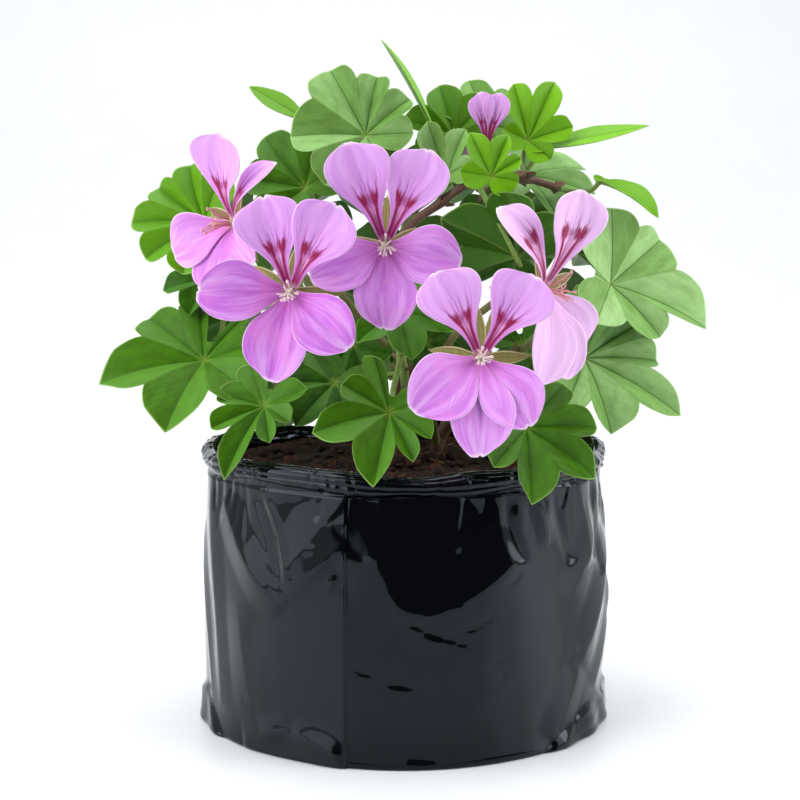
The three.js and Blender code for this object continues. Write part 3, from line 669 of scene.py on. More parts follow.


# Each leaf: where its stalk meets the blade, how the blade faces (turn, lift, roll), its lobes
# (angle, length), where the stalk starts, and its looks: how young it is, how much wax bloom
# and painted sheen it carries, and whether it is flat, plain in outline, broad between its
# lobes, or more or less pointed
STEMS = {
    "stem_left": {
        "foot": (-9, -4),
        "path": [(-18, -8, 90), (-33, -10, 97), (-44, -4, 108), (-53, 2, 122)],
        "leaves": [
            ((-58, -14, 107), (-10, 50, -10),
             [(-155, 26), (-118, 26), (-60, 31), (0, 29), (60, 27), (118, 20), (160, 19)],
             (-53, 2, 122), {"young": 0.26, "pointed": 0.72, "rounded": 0.42}),
            ((-39, -34, 96), (-15, 40, -15),
             [(-138, 15), (-84, 14), (-40, 16), (0, 25), (36, 14), (72, 11), (130, 13)],
             (-32, -10, 97), {"young": 0.22, "pointed": 0.7}),
            ((-57, 4, 130), (-20, 40, -72), plain_lobes(16), (-53, 2, 122), {"young": 0.1}),
        ],
    },
    "stem_upper_left": {
        "foot": (-7, 6),
        "path": [(-14, 6, 100), (-26, 6, 124), (-36, 6, 142), (-39, 8, 155)],
        "leaves": [
            ((-58, -8, 147), (-25, 22, -89),
             [(-105, 16), (-64, 20), (-32, 21), (0, 25), (34, 21), (78, 17)],
             (-36, 6, 142), {"young": 0.55, "broad": True}),
            ((-29, 0, 157), (-15, 25, -138),
             [(-100, 17), (-50, 19), (0, 22), (42, 19), (95, 16)], (-37, 7, 148),
             {"young": 0.2, "broad": True}),
            ((-30, 16, 178), (27.7, 46.7, -136.8), [(-84, 3), (0, 20), (84, 3)],
             (-39, 8, 155), {"young": 0.7, "flat": True, "pointed": 0.8, "plain": True}),
        ],
    },
    "stem_top": {
        "foot": (1, 9),
        "path": [(0, 12, 105), (-2, 14, 130), (2, 14, 152), (6, 12, 166)],
        "leaves": [
            ((-11, -6, 172), (-5, 28, -152),
             [(-120, 14), (-75, 17), (-35, 20), (0, 25), (64, 22), (118, 20)],
             (4, 13, 160), {"young": 0.3, "wax_and_painted_sheen": 0.5, "pointed": 0.34, "rounded": 0.2, "broad": True}),
            ((10, 13, 173), (78, 26, -175), [(-50, 2.4), (0, 33), (50, 2.4)],
             (6, 12, 166), {"young": 1.0, "wax_and_painted_sheen": 0.5, "flat": True, "pointed": 0.6, "plain": True}),
            ((15, 14, 173), (0, 30, -167), plain_lobes(18), (6, 12, 166), {"young": 0.4}),
            ((25, 20, 176), (10, 30, -169), plain_lobes(17), (6, 12, 164), {"young": 0.4, "wax_and_painted_sheen": 0.4}),
        ],
    },
    "stem_main": {
        "foot": (-1, 0),
        "path": [(-1, -3, 107), (0, -2, 143), (10, -3, 152), (21, -4, 159), (34, 0, 160), (46, 3, 157)],
        "woody": 0.9,
        "leaves": [
            ((37, 5, 171), (0, 15, 156), [(-108, 9), (-49, 14), (0, 20), (37, 18), (90, 8)],
             (36, 0, 160), {"young": 1.0, "pointed": 0.55}),
            ((40, 5, 169), (-14.3, 57.8, 109), [(-56, 3), (0, 34), (56, 3)],
             (36, 0, 160), {"young": 1.0, "flat": True, "pointed": 0.9, "plain": True}),
            ((25, -16, 160), (0, 6, 158), [(-78, 8), (-36, 10), (0, 13), (48, 14), (103, 9)],
             (21, -4, 159), {"young": 0.9}),
            ((13, -3, 161), (-25, 15, -153), [(-95, 9), (-45, 14), (0, 18), (50, 14), (100, 9)],
             (12, -3, 153), {"young": 0.5, "wax_and_painted_sheen": 0.8}),
            ((37, 16, 161), (20, 50, 60), [(-100, 16), (-49, 20), (0, 22), (40, 22), (100, 15)],
             (32, 0, 160), {"young": 0.3, "wax_and_painted_sheen": 0.8}),
            # This leaf hangs in shadow: pale_back 0.3 keeps its underside from turning pale, a painted
            # shade
            ((33, -8, 137), (170, 35, 120), plain_lobes(25), (21, -4, 159),
             {"young": 0.1, "pale_back": 0.3}),
            ((58, 0, 159), (30, 60, 22), [(-92, 2.2), (0, 22), (92, 2.2)],
             (46, 3, 157), {"young": 0.85, "pointed": 0.9, "plain": True}),
            ((-15, -3, 111), (-8, 20, 20), plain_lobes(14), (-1, -3, 107), {"young": 0.1}),
        ],
        "umbels": [
            [(-1, -3, 107), (-9, -8, 115), (-20, -22, 130), UMBEL_LEFT],
            [(21, -3, 158), (23, 4, 157), UMBEL_TOP],
        ],
    },
    "stem_right": {
        "foot": (9, 2),
        "path": [(18, 0, 92), (34, -2, 108), (46, -4, 120), (52, -3, 128)],
        "leaves": [
            ((33, -50, 92), (10, 32, -4),
             [(-100, 16), (-38, 16), (0, 23), (54, 23), (93, 20), (140, 17)],
             (14, 1, 87), {"young": 0.2, "pointed": 0.7}),
            ((52, -18, 108), (20, 38, 49),
             [(-130, 18), (-82, 22), (-48, 26), (0, 32), (34, 22), (68, 24), (100, 25)],
             (34, -2, 108), {"young": 0.35, "wax_and_painted_sheen": 0.75, "broad": True}),
            ((60, -12, 129), (22, 25, 65),
             [(-100, 16), (-30, 21), (0, 33), (60, 22.5), (104, 24)],
             (49, -4, 124), {"young": 0.4, "wax_and_painted_sheen": 1.0, "red_stalk": 0.8, "broad": True}),
            ((36, 8, 110), (15, 25, 10), plain_lobes(17), (30, -2, 104), {"young": 0.1}),
        ],
        "umbels": [[(10, 2, 80), (8, -18, 100), (14, -28, 115), UMBEL_RIGHT]],
    },
    "stem_front": {
        "foot": (2, -9),
        "path": [(1, -14, 90), (0, -18, 104), (-2, -16, 114)],
        "leaves": [
            ((-4, -49, 96), (8, 38, -15),
             [(-155, 18), (-108, 15), (-60, 22), (0, 24), (32, 17), (64, 14), (120, 12)],
             (-1, -18, 108), {"young": 0.24, "pointed": 0.7}),
            ((-1, -22, 122), (0, 40, 10), plain_lobes(18), (-2, -16, 114), {"young": 0.15}),
            ((-20, -20, 101), (-10, 40, -30), plain_lobes(18), (0, -18, 104), {"young": 0.1}),
        ],
    },
    "stem_back_left": {
        "foot": (-8, 14),
        "path": [(-18, 20, 98), (-30, 26, 120), (-36, 26, 140)],
        "leaves": [
            ((-50, 34, 118), (-125, 35, 10), plain_lobes(30), (-30, 26, 120), {"young": 0.2}),
            ((-36, 47, 97), (-145, 30, -10), plain_lobes(26), (-20, 21, 102), {"young": 0.2}),
            ((-52, 17, 112), (-100, 35, -60), plain_lobes(20), (-24, 23, 109), {"young": 0.22}),
            ((-32, 42, 145), (-150, 45, 15), plain_lobes(24), (-35, 26, 136), {"young": 0.2, "wax_and_painted_sheen": 0.4}),
            ((-48, 26, 150), (-110, 45, -10), plain_lobes(22), (-36, 26, 140), {"young": 0.32}),
        ],
    },
    "stem_back_right": {
        "foot": (10, 12),
        "path": [(20, 20, 98), (32, 24, 122), (36, 22, 146)],
        "leaves": [
            ((50, 36, 118), (130, 35, -10), plain_lobes(30), (32, 24, 122), {"young": 0.2}),
            ((30, 50, 98), (155, 30, 10), plain_lobes(27), (22, 21, 102), {"young": 0.2, "wax_and_painted_sheen": 0.4}),
            ((55, 18, 112), (100, 35, 60), plain_lobes(20), (26, 22, 110), {"young": 0.22}),
            ((33, 40, 147), (150, 45, -15), plain_lobes(24), (35, 23, 138), {"young": 0.32}),
            ((54, 26, 138), (105, 45, 10), plain_lobes(22), (35, 23, 138), {"young": 0.2}),
        ],
    },
    "stem_back": {
        "foot": (1, 18),
        "path": [(2, 28, 100), (2, 34, 125), (3, 30, 150)],
        "leaves": [
            ((-2, 57, 116), (180, 35, 5), plain_lobes(28), (2, 31, 112), {"young": 0.2}),
            ((2, 48, 138), (178, 50, -10), plain_lobes(26), (3, 33, 132), {"young": 0.28, "wax_and_painted_sheen": 0.3}),
            ((-14, 32, 160), (-160, 60, -20), plain_lobes(24), (3, 30, 150), {"young": 0.32}),
            ((16, 34, 162), (160, 60, 20), plain_lobes(24), (3, 30, 150), {"young": 0.28, "wax_and_painted_sheen": 0.5}),
            ((7, 22, 110), (5, 25, 0), plain_lobes(15), (2, 30, 106), {"young": 0.1}),
        ],
    },
}


def facing(pose):
    """The tip, side and front of a flat thing, from its turn, lift and roll"""
    turn, lift, roll = (math.radians(angle) for angle in pose)
    front = np.array([math.sin(turn) * math.cos(lift), -math.cos(turn) * math.cos(lift), math.sin(lift)])
    down = np.array([math.sin(turn) * math.sin(lift), -math.cos(turn) * math.sin(lift), -math.cos(lift)])
    right = np.array([math.cos(turn), math.sin(turn), 0.0])
    tip = down * math.cos(roll) + right * math.sin(roll)
    side = right * math.cos(roll) - down * math.sin(roll)
    return tip, side, front


def smooth_route(stops, count):
    """Evenly spaced points on a smooth line through the stops"""
    stops = np.array(stops, dtype=float)
    whole = np.concatenate([[2 * stops[0] - stops[1]], stops, [2 * stops[-1] - stops[-2]]])
    found = []
    for i in range(1, len(whole) - 2):
        p0, p1, p2, p3 = whole[i - 1:i + 3]
        t1 = max(1e-4, np.linalg.norm(p1 - p0) ** 0.5)
        t2 = t1 + max(1e-4, np.linalg.norm(p2 - p1) ** 0.5)
        t3 = t2 + max(1e-4, np.linalg.norm(p3 - p2) ** 0.5)
        for t in np.linspace(t1, t2, 40, endpoint=False):
            a1 = p0 * (t1 - t) / t1 + p1 * t / t1
            a2 = p1 * (t2 - t) / (t2 - t1) + p2 * (t - t1) / (t2 - t1)
            a3 = p2 * (t3 - t) / (t3 - t2) + p3 * (t - t2) / (t3 - t2)
            b1 = a1 * (t2 - t) / t2 + a2 * t / t2
            b2 = a2 * (t3 - t) / (t3 - t1) + a3 * (t - t1) / (t3 - t1)
            found.append(b1 * (t2 - t) / (t2 - t1) + b2 * (t - t1) / (t2 - t1))
    found = np.array(found + [stops[-1]])
    walked = np.concatenate([[0], np.cumsum(np.linalg.norm(np.diff(found, axis=0), axis=1))])
    even = np.linspace(0, walked[-1], count)
    return np.stack([np.interp(even, walked, found[:, k]) for k in range(3)], axis=-1)


def capped_rings(points, ends, rings, sides):
    """A closed skin over rings of points, with one more point at each end"""
    count = len(points)
    caps = [fan(count, 0, sides, inwards=True), fan(count + 1, count - sides, sides)]
    return np.concatenate([points, ends]), rings_to_quads(rings, sides), np.concatenate(caps)


def unit(line):
    """The same heading, one long"""
    return line / np.linalg.norm(line)


def shoot(route, radii, sides):
    """A round shoot along a route, its radius given ring by ring or point by point"""
    route = np.asarray(route)
    ahead = np.gradient(route, axis=0)
    ahead = ahead / np.linalg.norm(ahead, axis=1, keepdims=True)
    across = [unit(np.cross(ahead[0], [0.31, 0.87, 0.11]))]
    for direction in ahead[1:]:
        across.append(unit(across[-1] - direction * np.dot(across[-1], direction)))
    across = np.array(across)
    beside = np.cross(ahead, across)
    radii = np.asarray(radii, dtype=float)
    if radii.ndim == 1:
        radii = np.repeat(radii[:, None], sides, axis=1)
    turns = math.tau * np.arange(sides) / sides
    ring = across[:, None] * np.cos(turns)[None, :, None] + beside[:, None] * np.sin(turns)[None, :, None]
    points = (route[:, None] + ring * radii[..., None]).reshape(-1, 3)
    ends = [route[0] - ahead[0] * radii[0, 0] * 0.3, route[-1] + ahead[-1] * radii[-1, 0] * 0.5]
    return capped_rings(points, ends, len(route), sides)


def two_faced(top, bottom):
    """A thin closed sheet from matching grids of points on its two faces"""
    rows, columns = top.shape[:2]
    points = np.concatenate([top.reshape(-1, 3), bottom.reshape(-1, 3)])
    half = rows * columns
    i, j = np.meshgrid(np.arange(rows - 1), np.arange(columns - 1), indexing="ij")
    a = i * columns + j
    upper = np.stack([a, a + 1, a + columns + 1, a + columns], axis=-1).reshape(-1, 4)
    lower = np.stack([a, a + columns, a + columns + 1, a + 1], axis=-1).reshape(-1, 4) + half
    rim = [(0, k) for k in range(columns - 1)] + [(k, columns - 1) for k in range(rows - 1)]
    rim += [(rows - 1, k) for k in range(columns - 1, 0, -1)] + [(k, 0) for k in range(rows - 1, 0, -1)]
    rim = np.array([row * columns + column for row, column in rim])
    after = np.roll(rim, -1)
    edge = np.stack([rim, rim + half, after + half, after], axis=-1)
    return points, np.concatenate([upper, lower, edge])


def small_scale(base, ahead, front, length, half):
    """A small pointed papery scale, such as the pair at the foot of a leaf stalk"""
    ahead = unit(ahead)
    side = unit(np.cross(ahead, front))
    face = np.cross(side, ahead)
    share, across = np.meshgrid(np.linspace(0.0, 1.0, 7), np.linspace(-1.0, 1.0, 5), indexing="ij")
    share = share[..., None]
    across = across[..., None]
    wide = half * (1.0 - share) ** 0.7 * (0.75 + 0.9 * share)
    middle = base + ahead * length * share + face * SCALE_CURL * length * share**2
    top = middle + side * (wide * across + 0.02 * across) + face * 0.25 * wide * across**2
    return two_faced(top, top - face * SCALE_THICKNESS)


def leaf_blade(at, pose, lobes, looks, rng):
    """One blade: creased along its ribs, raised between its lobes and domed over its stalk"""
    tip, side, front = facing(pose)
    size = max(length for _, length in lobes)
    flat = looks.get("flat", False)
    fold, dome = FLAT_FORM if flat else GROWN_FORM
    pointed = looks.get("pointed", POINTED_TIP)
    rounded = looks.get("rounded", ROUNDED_TIP)
    notch = NOTCH_SHARE * size
    bay = BROAD_BAY_SHARE if looks.get("broad") else BAY_SHARE
    if looks.get("plain"):
        notch = PLAIN_NOTCH_SHARE * size
        bay = PLAIN_BAY_SHARE
    turns = []
    outline = []
    ribs = []
    ridges = []
    for i, (angle, length) in enumerate(lobes):
        last = i == len(lobes) - 1
        before = -NOTCH_ANGLE if i == 0 else (angle + lobes[i - 1][0]) / 2
        after = NOTCH_ANGLE if last else (angle + lobes[i + 1][0]) / 2
        low = notch if i == 0 else bay * min(length, lobes[i - 1][1])
        high = notch if last else bay * min(length, lobes[i + 1][1])
        sharp = rounded + (pointed - rounded) * np.clip((length / size - 0.8) / 0.14, 0.0, 1.0)
        for sign, limit, deep in ((-1, before, low), (1, after, high)):
            shoulder = rng.uniform(0.0, 0.05)
            place = rng.uniform(0.45, 0.65)
            steps = [1.0, *ACROSS_LOBE[:0:-1]] if sign < 0 else ACROSS_LOBE
            for share in steps:
                fall = sharp * share + (1.0 - sharp) * share**4
                bump = shoulder * math.exp(-(((share - place) / 0.13) ** 2)) * (0 < share < 1)
                turns.append(angle + (limit - angle) * share)
                outline.append(deep + (length - deep) * (1.0 - fall + bump))
                ribs.append(angle)
                crest = 0.6 if limit in (NOTCH_ANGLE, -NOTCH_ANGLE) else 1.0
                ridges.append(crest * ((share * share + 0.003) ** 0.4 - 0.003**0.4))
    for turn in (NOTCH_ANGLE, 174.0, 180.0, 186.0):
        turns.append(turn)
        outline.append(notch * (1.0 if turn == NOTCH_ANGLE else 0.93))
        ribs.append(180.0)
        ridges.append(0.6)
    turns = np.radians(turns)
    outline = np.array(outline)
    ribs = np.radians(ribs)
    ridges = np.array(ridges)
    share = OUTWARDS[:, None]
    reach = share * outline[None]
    phase = rng.uniform(0, math.tau, 3)
    warp = 0.035 * np.sin(2 * turns + phase[0]) + 0.03 * np.sin(3 * turns + phase[1])
    ripple = 0.35 * np.sin(9 * turns + phase[2]) + 0.2 * np.sin(17 * turns + phase[0])
    ripple = ripple * np.clip((outline / size - 0.2) / 0.4, 0.0, 1.0)
    lift = reach * (fold * ridges + dome * (1.0 - reach / size)) + reach**2 / size * warp
    lift = lift + ripple * share**6 * (0.3 if flat else 1.0)
    lift = lift - 0.12 * np.exp(-((reach * np.sin(turns - ribs)) / 0.5) ** 2) * (reach > 1.0)
    flatwise = np.cos(turns)[None, :, None] * tip + np.sin(turns)[None, :, None] * side
    top = np.array(at) + reach[..., None] * flatwise + lift[..., None] * front
    across = np.abs(reach * np.sin(turns - ribs))
    along = reach * np.cos(turns - ribs)
    flank = np.clip(reach * np.sin(turns - ribs) / 0.5, -1.0, 1.0)
    rib = 0.3 * np.exp(-((across / 0.6) ** 2)) * (1.0 - share**3)
    thick = BLADE_THICKNESS * (1.0 - 0.75 * share**8) + rib
    bottom = top - thick[..., None] * front
    columns = len(turns)
    rows = len(OUTWARDS)
    face = rows * columns + 1
    top_middle = np.array(at)
    bottom_middle = np.array(at) - front * (BLADE_THICKNESS + 0.4)
    points = np.concatenate([top.reshape(-1, 3), [top_middle], bottom.reshape(-1, 3), [bottom_middle]])
    upper = rings_to_quads(rows, columns)
    here = (rows - 1) * columns + np.arange(columns)
    after = np.roll(here, -1)
    edge = np.stack([after, here, here + face, after + face], axis=-1)
    quads = np.concatenate([upper[:, ::-1], upper + face, edge])
    triangles = [fan(face - 1, 0, columns), fan(2 * face - 1, face, columns, inwards=True)]
    values = {"across": across, "along": along, "flank": flank, "rim": np.repeat(OUTWARDS, columns)}
    marks = {label: np.tile(np.append(value, 0.0), 2) for label, value in values.items()}
    marks["seed"] = np.full(2 * face, rng.uniform(0.0, 90.0))
    marks["under"] = np.repeat([0.0, 1.0], face)
    return points, quads, np.concatenate(triangles), marks


def leaf_green():
    """Leaf green: deep when grown, yellowish when young, frosted pale grey-green by wax bloom and painted
    sheen, with one flank of each rib painted lighter and the ribs painted darker
    """
    leaf = Finish("waxy_leaf", IOR=1.22)
    across, along, rim, flank = leaf.marks("across", "along", "rim", "flank")
    young, wax_and_painted_sheen = leaf.marks("young", "wax_and_painted_sheen")
    # A pale_back below one keeps an underside darker than the rest: painted shade on a shaded leaf
    under = leaf.mark("under") * leaf.mark("pale_back")
    tone = leaf.streaks(across * 0.45, along * 0.14, leaf.mark("seed"))
    patches = leaf.grain(70.0, 3.0, 0.6)
    cells = leaf.grain(1400.0, 3.0, 0.6)
    wander = leaf.grain(260.0, 2.0, 0.5)
    deep = leaf.blend(tone.ramp(0.34, 0.66), shade(16, 52, 6), shade(40, 92, 8))
    green = leaf.blend(young, deep, shade(118, 182, 20))
    # One flank of each rib is painted lighter yellow-green: painted light, as if lit from one side
    green = leaf.blend(flank.ramp(-0.6, 0.6) * 0.2, green, shade(112, 172, 70))
    # Side veins leave each rib like the bones of a herring, about 3 mm apart
    bone = (along - across * 1.15 + wander * 1.2 + patches * 6.0) / 3.1
    bone = (bone.work("FRACT") - 0.5).size()
    vein = bone.drop(0.0, 0.085) * across.ramp(0.2, 0.6) * across.drop(5.0, 9.0)
    mesh = (along * 0.9 + across * 1.3 + wander * 3.0) / 1.3
    mesh = (mesh.work("FRACT") - 0.5).size().drop(0.0, 0.12)
    green = leaf.blend(vein * 0.1, green, shade(96, 140, 52))
    green = leaf.blend(mesh * tone * 0.16, green, shade(30, 70, 16))
    # Each rib is painted darker along its sunken crease: painted crease shade
    rib = across.drop(0.06, 0.3)
    green = leaf.blend(rib * 0.4, green, shade(30, 78, 20))
    foot = along.drop(0.5, 2.8) * across.drop(0.4, 1.6)
    green = leaf.blend(foot * 0.32, green, shade(150, 180, 70))
    margin = rim.ramp(0.975, 0.995)
    green = leaf.blend(margin * 0.55, green, shade(164, 200, 104))
    # The pale frost is partly wax bloom and partly a painted sheen of light, put on leaves that catch the
    # light and stronger on one flank of each rib
    frost_and_sheen = (patches * 0.5 + tone * 0.5).ramp(0.34, 0.6) * 0.4 + 0.56
    wax_and_sheen_share = wax_and_painted_sheen * frost_and_sheen * (flank * 0.25 + 0.75) * (rib * -0.7 + 1.0) * (vein * -0.12 + 1.0)
    green = leaf.blend(wax_and_sheen_share * 0.92, green, shade(182, 224, 150))
    pale = leaf.blend(across.drop(0.15, 0.6), shade(78, 118, 52), shade(150, 172, 96))
    leaf.colour(leaf.blend(under * 0.8, green, pale))
    leaf.roughness(cells * 0.14 + wax_and_painted_sheen * 0.1 + 0.36)
    plump = bone.ramp(0.0, 0.3) * across.ramp(0.1, 0.9) * 0.25 + cells * 0.3 - rib * 0.5
    leaf.relief(plump, 0.00016, 0.6)
    return leaf.material


def stem_bark():
    """Green skin that turns to brown grooved bark with age, and reddish on some stalks"""
    bark = Finish("stem_bark", IOR=1.45)
    age, red = bark.marks("age", "red")
    grooves = bark.grain(700.0, 4.0, 0.65, (1.0, 1.0, 0.18), 0.3)
    flecks = bark.cells(700.0)
    green = bark.blend(grooves, shade(92, 138, 52), shade(138, 172, 84))
    brown = bark.blend(grooves, shade(66, 44, 36), shade(134, 100, 78))
    mixed = bark.blend((age + grooves * 0.3).ramp(0.35, 0.8), green, brown)
    mixed = bark.blend(flecks.drop(0.1, 0.22) * 0.5 * age, mixed, shade(176, 150, 120))
    bark.colour(bark.blend(red * 0.8, mixed, shade(160, 84, 70)))
    bark.roughness(grooves * 0.2 + 0.45)
    bark.relief(grooves + flecks.drop(0.08, 0.2) * 0.4, 0.0003, 0.8)
    return bark.material


BARK = stem_bark()
LEAF_GREEN = leaf_green()


def woody_stem(growth, stem, rng):
    """The stem itself, swollen at each joint, with a pair of scales there"""
    foot = stem["foot"]
    stops = [(*foot, SOIL_TOP - 20.0), (*foot, SOIL_TOP + 1.0), *stem["path"]]
    route = smooth_route(stops, STEM_RINGS)
    share = np.linspace(0.0, 1.0, STEM_RINGS)
    radius = STEM_FOOT_RADIUS + (STEM_TIP_RADIUS - STEM_FOOT_RADIUS) * share
    walked = np.concatenate([[0], np.cumsum(np.linalg.norm(np.diff(route, axis=0), axis=1))])
    joints = [np.array(leaf[3], dtype=float) for leaf in stem["leaves"]]
    joints += [np.array(line[0], dtype=float) for line in stem.get("umbels", [])]
    for joint in joints:
        nearest = np.argmin(np.linalg.norm(route - joint, axis=1))
        near = np.exp(-(((walked - walked[nearest]) / JOINT_LENGTH) ** 2))
        radius = radius * (1.0 + JOINT_SWELL * near)
    lumps = 1.0 + 0.05 * rng.standard_normal((STEM_RINGS, STEM_SIDES))
    lumps = (lumps + np.roll(lumps, 1, axis=0) + np.roll(lumps, 1, axis=1)) / 3.0
    age = np.clip(1.35 - 1.25 * share, 0.0, 1.0)
    age = np.maximum(age, stem.get("woody", 0.0))
    ages = np.concatenate([np.repeat(age, STEM_SIDES), [1.0, age[-1]]])
    growth.add(*shoot(route, radius[:, None] * lumps, STEM_SIDES), age=ages, red=0.0)
    for joint in joints:
        nearest = np.argmin(np.linalg.norm(route - joint, axis=1))
        nearest = int(np.clip(nearest, 1, STEM_RINGS - 2))
        ahead = unit(route[nearest + 1] - route[nearest - 1])
        out = unit(np.cross(ahead, [0.3, 0.5, 0.81]))
        for sign in (-1, 1):
            base = route[nearest] + out * sign * radius[nearest] * 0.85
            lean = ahead * 0.8 + out * sign * 0.6
            growth.add(*small_scale(base, lean, out * sign, 3.4, 1.3), [], age=0.55, red=0.25)


def leaf_stalk(growth, at, pose, start, looks):
    """A leaf's stalk, which leaves the stem and meets the back of the blade from below"""
    tip, _, front = facing(pose)
    back = np.array(at) - front * 0.45
    under = back - (front + tip * 0.5) * LEAF_STALK_REACH
    start = np.array(start, dtype=float)
    middle = start + (under - start) * 0.6 + np.array([0, 0, 1.0])
    near = back + (under - back) * 0.45
    route = smooth_route([start, middle, near, back], LEAF_STALK_RINGS)
    share = np.linspace(0.0, 1.0, LEAF_STALK_RINGS)
    radius = LEAF_STALK_FOOT + (LEAF_STALK_TIP - LEAF_STALK_FOOT) * share
    swollen = 0.35 * np.exp(-((share / 0.05) ** 2)) + 0.2 * np.exp(-(((share - 1) / 0.06) ** 2))
    radius = radius * (1.0 + swollen)
    growth.add(*shoot(route, radius, 8), age=0.18, red=looks.get("red_stalk", 0.12))


def umbel_stalk(growth, line, rng):
    """The stalk of an umbel, and the knob with its ring of small bracts at its end"""
    route = smooth_route(line, 40)
    share = np.linspace(0.0, 1.0, 40)
    radius = 1.2 - 0.15 * share + 0.5 * np.exp(-((share / 0.04) ** 2))
    growth.add(*shoot(route, radius, 9), age=0.45, red=0.15)
    head = np.array(line[-1], dtype=float)
    ahead = unit(route[-1] - route[-3])
    length = np.linspace(-1.0, 1.0, 12)
    line_up = head + ahead * length[:, None] * UMBEL_RADIUS
    girth = UMBEL_RADIUS * np.sqrt(np.clip(1.0 - length**2 * 0.97, 0.0, 1.0))
    knobs = np.sin(np.arange(12)[None] * math.tau * 5 / 12 + 4 * length[:, None])
    lumps = girth[:, None] * (1.0 + 0.1 * knobs)
    growth.add(*shoot(line_up, lumps, 12), age=0.3, red=0.1)
    side = unit(np.cross(ahead, [0.2, 0.9, 0.4]))
    beside = np.cross(ahead, side)
    for k in range(UMBEL_BRACTS):
        turn = math.tau * k / UMBEL_BRACTS + rng.uniform(-0.2, 0.2)
        out = side * math.cos(turn) + beside * math.sin(turn)
        base = head + out * UMBEL_RADIUS * 0.85 - ahead * 0.6
        lean = ahead * rng.uniform(0.3, 0.9) + out * 0.8
        growth.add(*small_scale(base, lean, out, rng.uniform(2.8, 3.8), 1.0), [], age=0.6, red=0.3)


for number, (name, stem) in enumerate(STEMS.items()):
    rng = np.random.default_rng(100 + number)
    wood = Growth()
    green = Growth()
    woody_stem(wood, stem, rng)
    for line in stem.get("umbels", []):
        umbel_stalk(wood, line, rng)
    for at, pose, lobes, start, looks in stem["leaves"]:
        leaf_stalk(wood, at, pose, start, looks)
        points, quads, triangles, marks = leaf_blade(at, pose, lobes, looks, rng)
        marks["young"] = looks["young"]
        marks["wax_and_painted_sheen"] = looks.get("wax_and_painted_sheen", 0.0)
        marks["pale_back"] = looks.get("pale_back", 1.0)
        green.add(points, quads, triangles, **marks)
    for piece in (wood.piece(name + "_shoots", BARK), green.piece(name + "_leaves", LEAF_GREEN)):
        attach(piece, "root")
        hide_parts(name)

# The blooms: six in three umbels, five about 45 mm across and a young one at the top. Two upper
# petals stand on long narrow claws and carry dark streaks that guide insects in, three lower ones
# are plain. They grow from a small cup in front of the calyx, and are soft and paper thin.
PETAL_THICKNESS = 0.32
LOWEST_PETAL_BACK = 0.7
LOWEST_PETAL_LEAN = 5.0
CUP_RADIUS = 1.7
CUP_BACK = 0.7
CUP_FRONT = 0.5
FIT_GAP = 0.3
SEPAL_LENGTH = 13.5
SEPAL_HALF = 1.8
SEPAL_ANGLES = (0, 72, 140, -140, -72)
HAIRS_ON_A_STALK = 110
STAMEN_LENGTH = 6.6
STAMEN_ANGLES = (-62, -36, -12, 14, 38, 64, 180)
# Petals and sepals: how half their width runs from the root (0) to the tip (1)
UPPER_PETAL = (
    [0, 0.14, 0.25, 0.38, 0.48, 0.6, 0.72, 0.82, 0.9, 0.96, 1.0],
    [0.12, 0.15, 0.2, 0.33, 0.52, 0.8, 0.97, 0.98, 0.85, 0.6, 0.28],
)
LOWER_PETAL = (
    [0, 0.14, 0.3, 0.42, 0.58, 0.72, 0.84, 0.93, 1.0],
    [0.16, 0.3, 0.58, 0.83, 1.0, 0.96, 0.8, 0.57, 0.32],
)
SEPAL = ([0, 0.22, 0.5, 0.8, 1.0], [0.55, 0.85, 1.0, 0.6, 0.06])
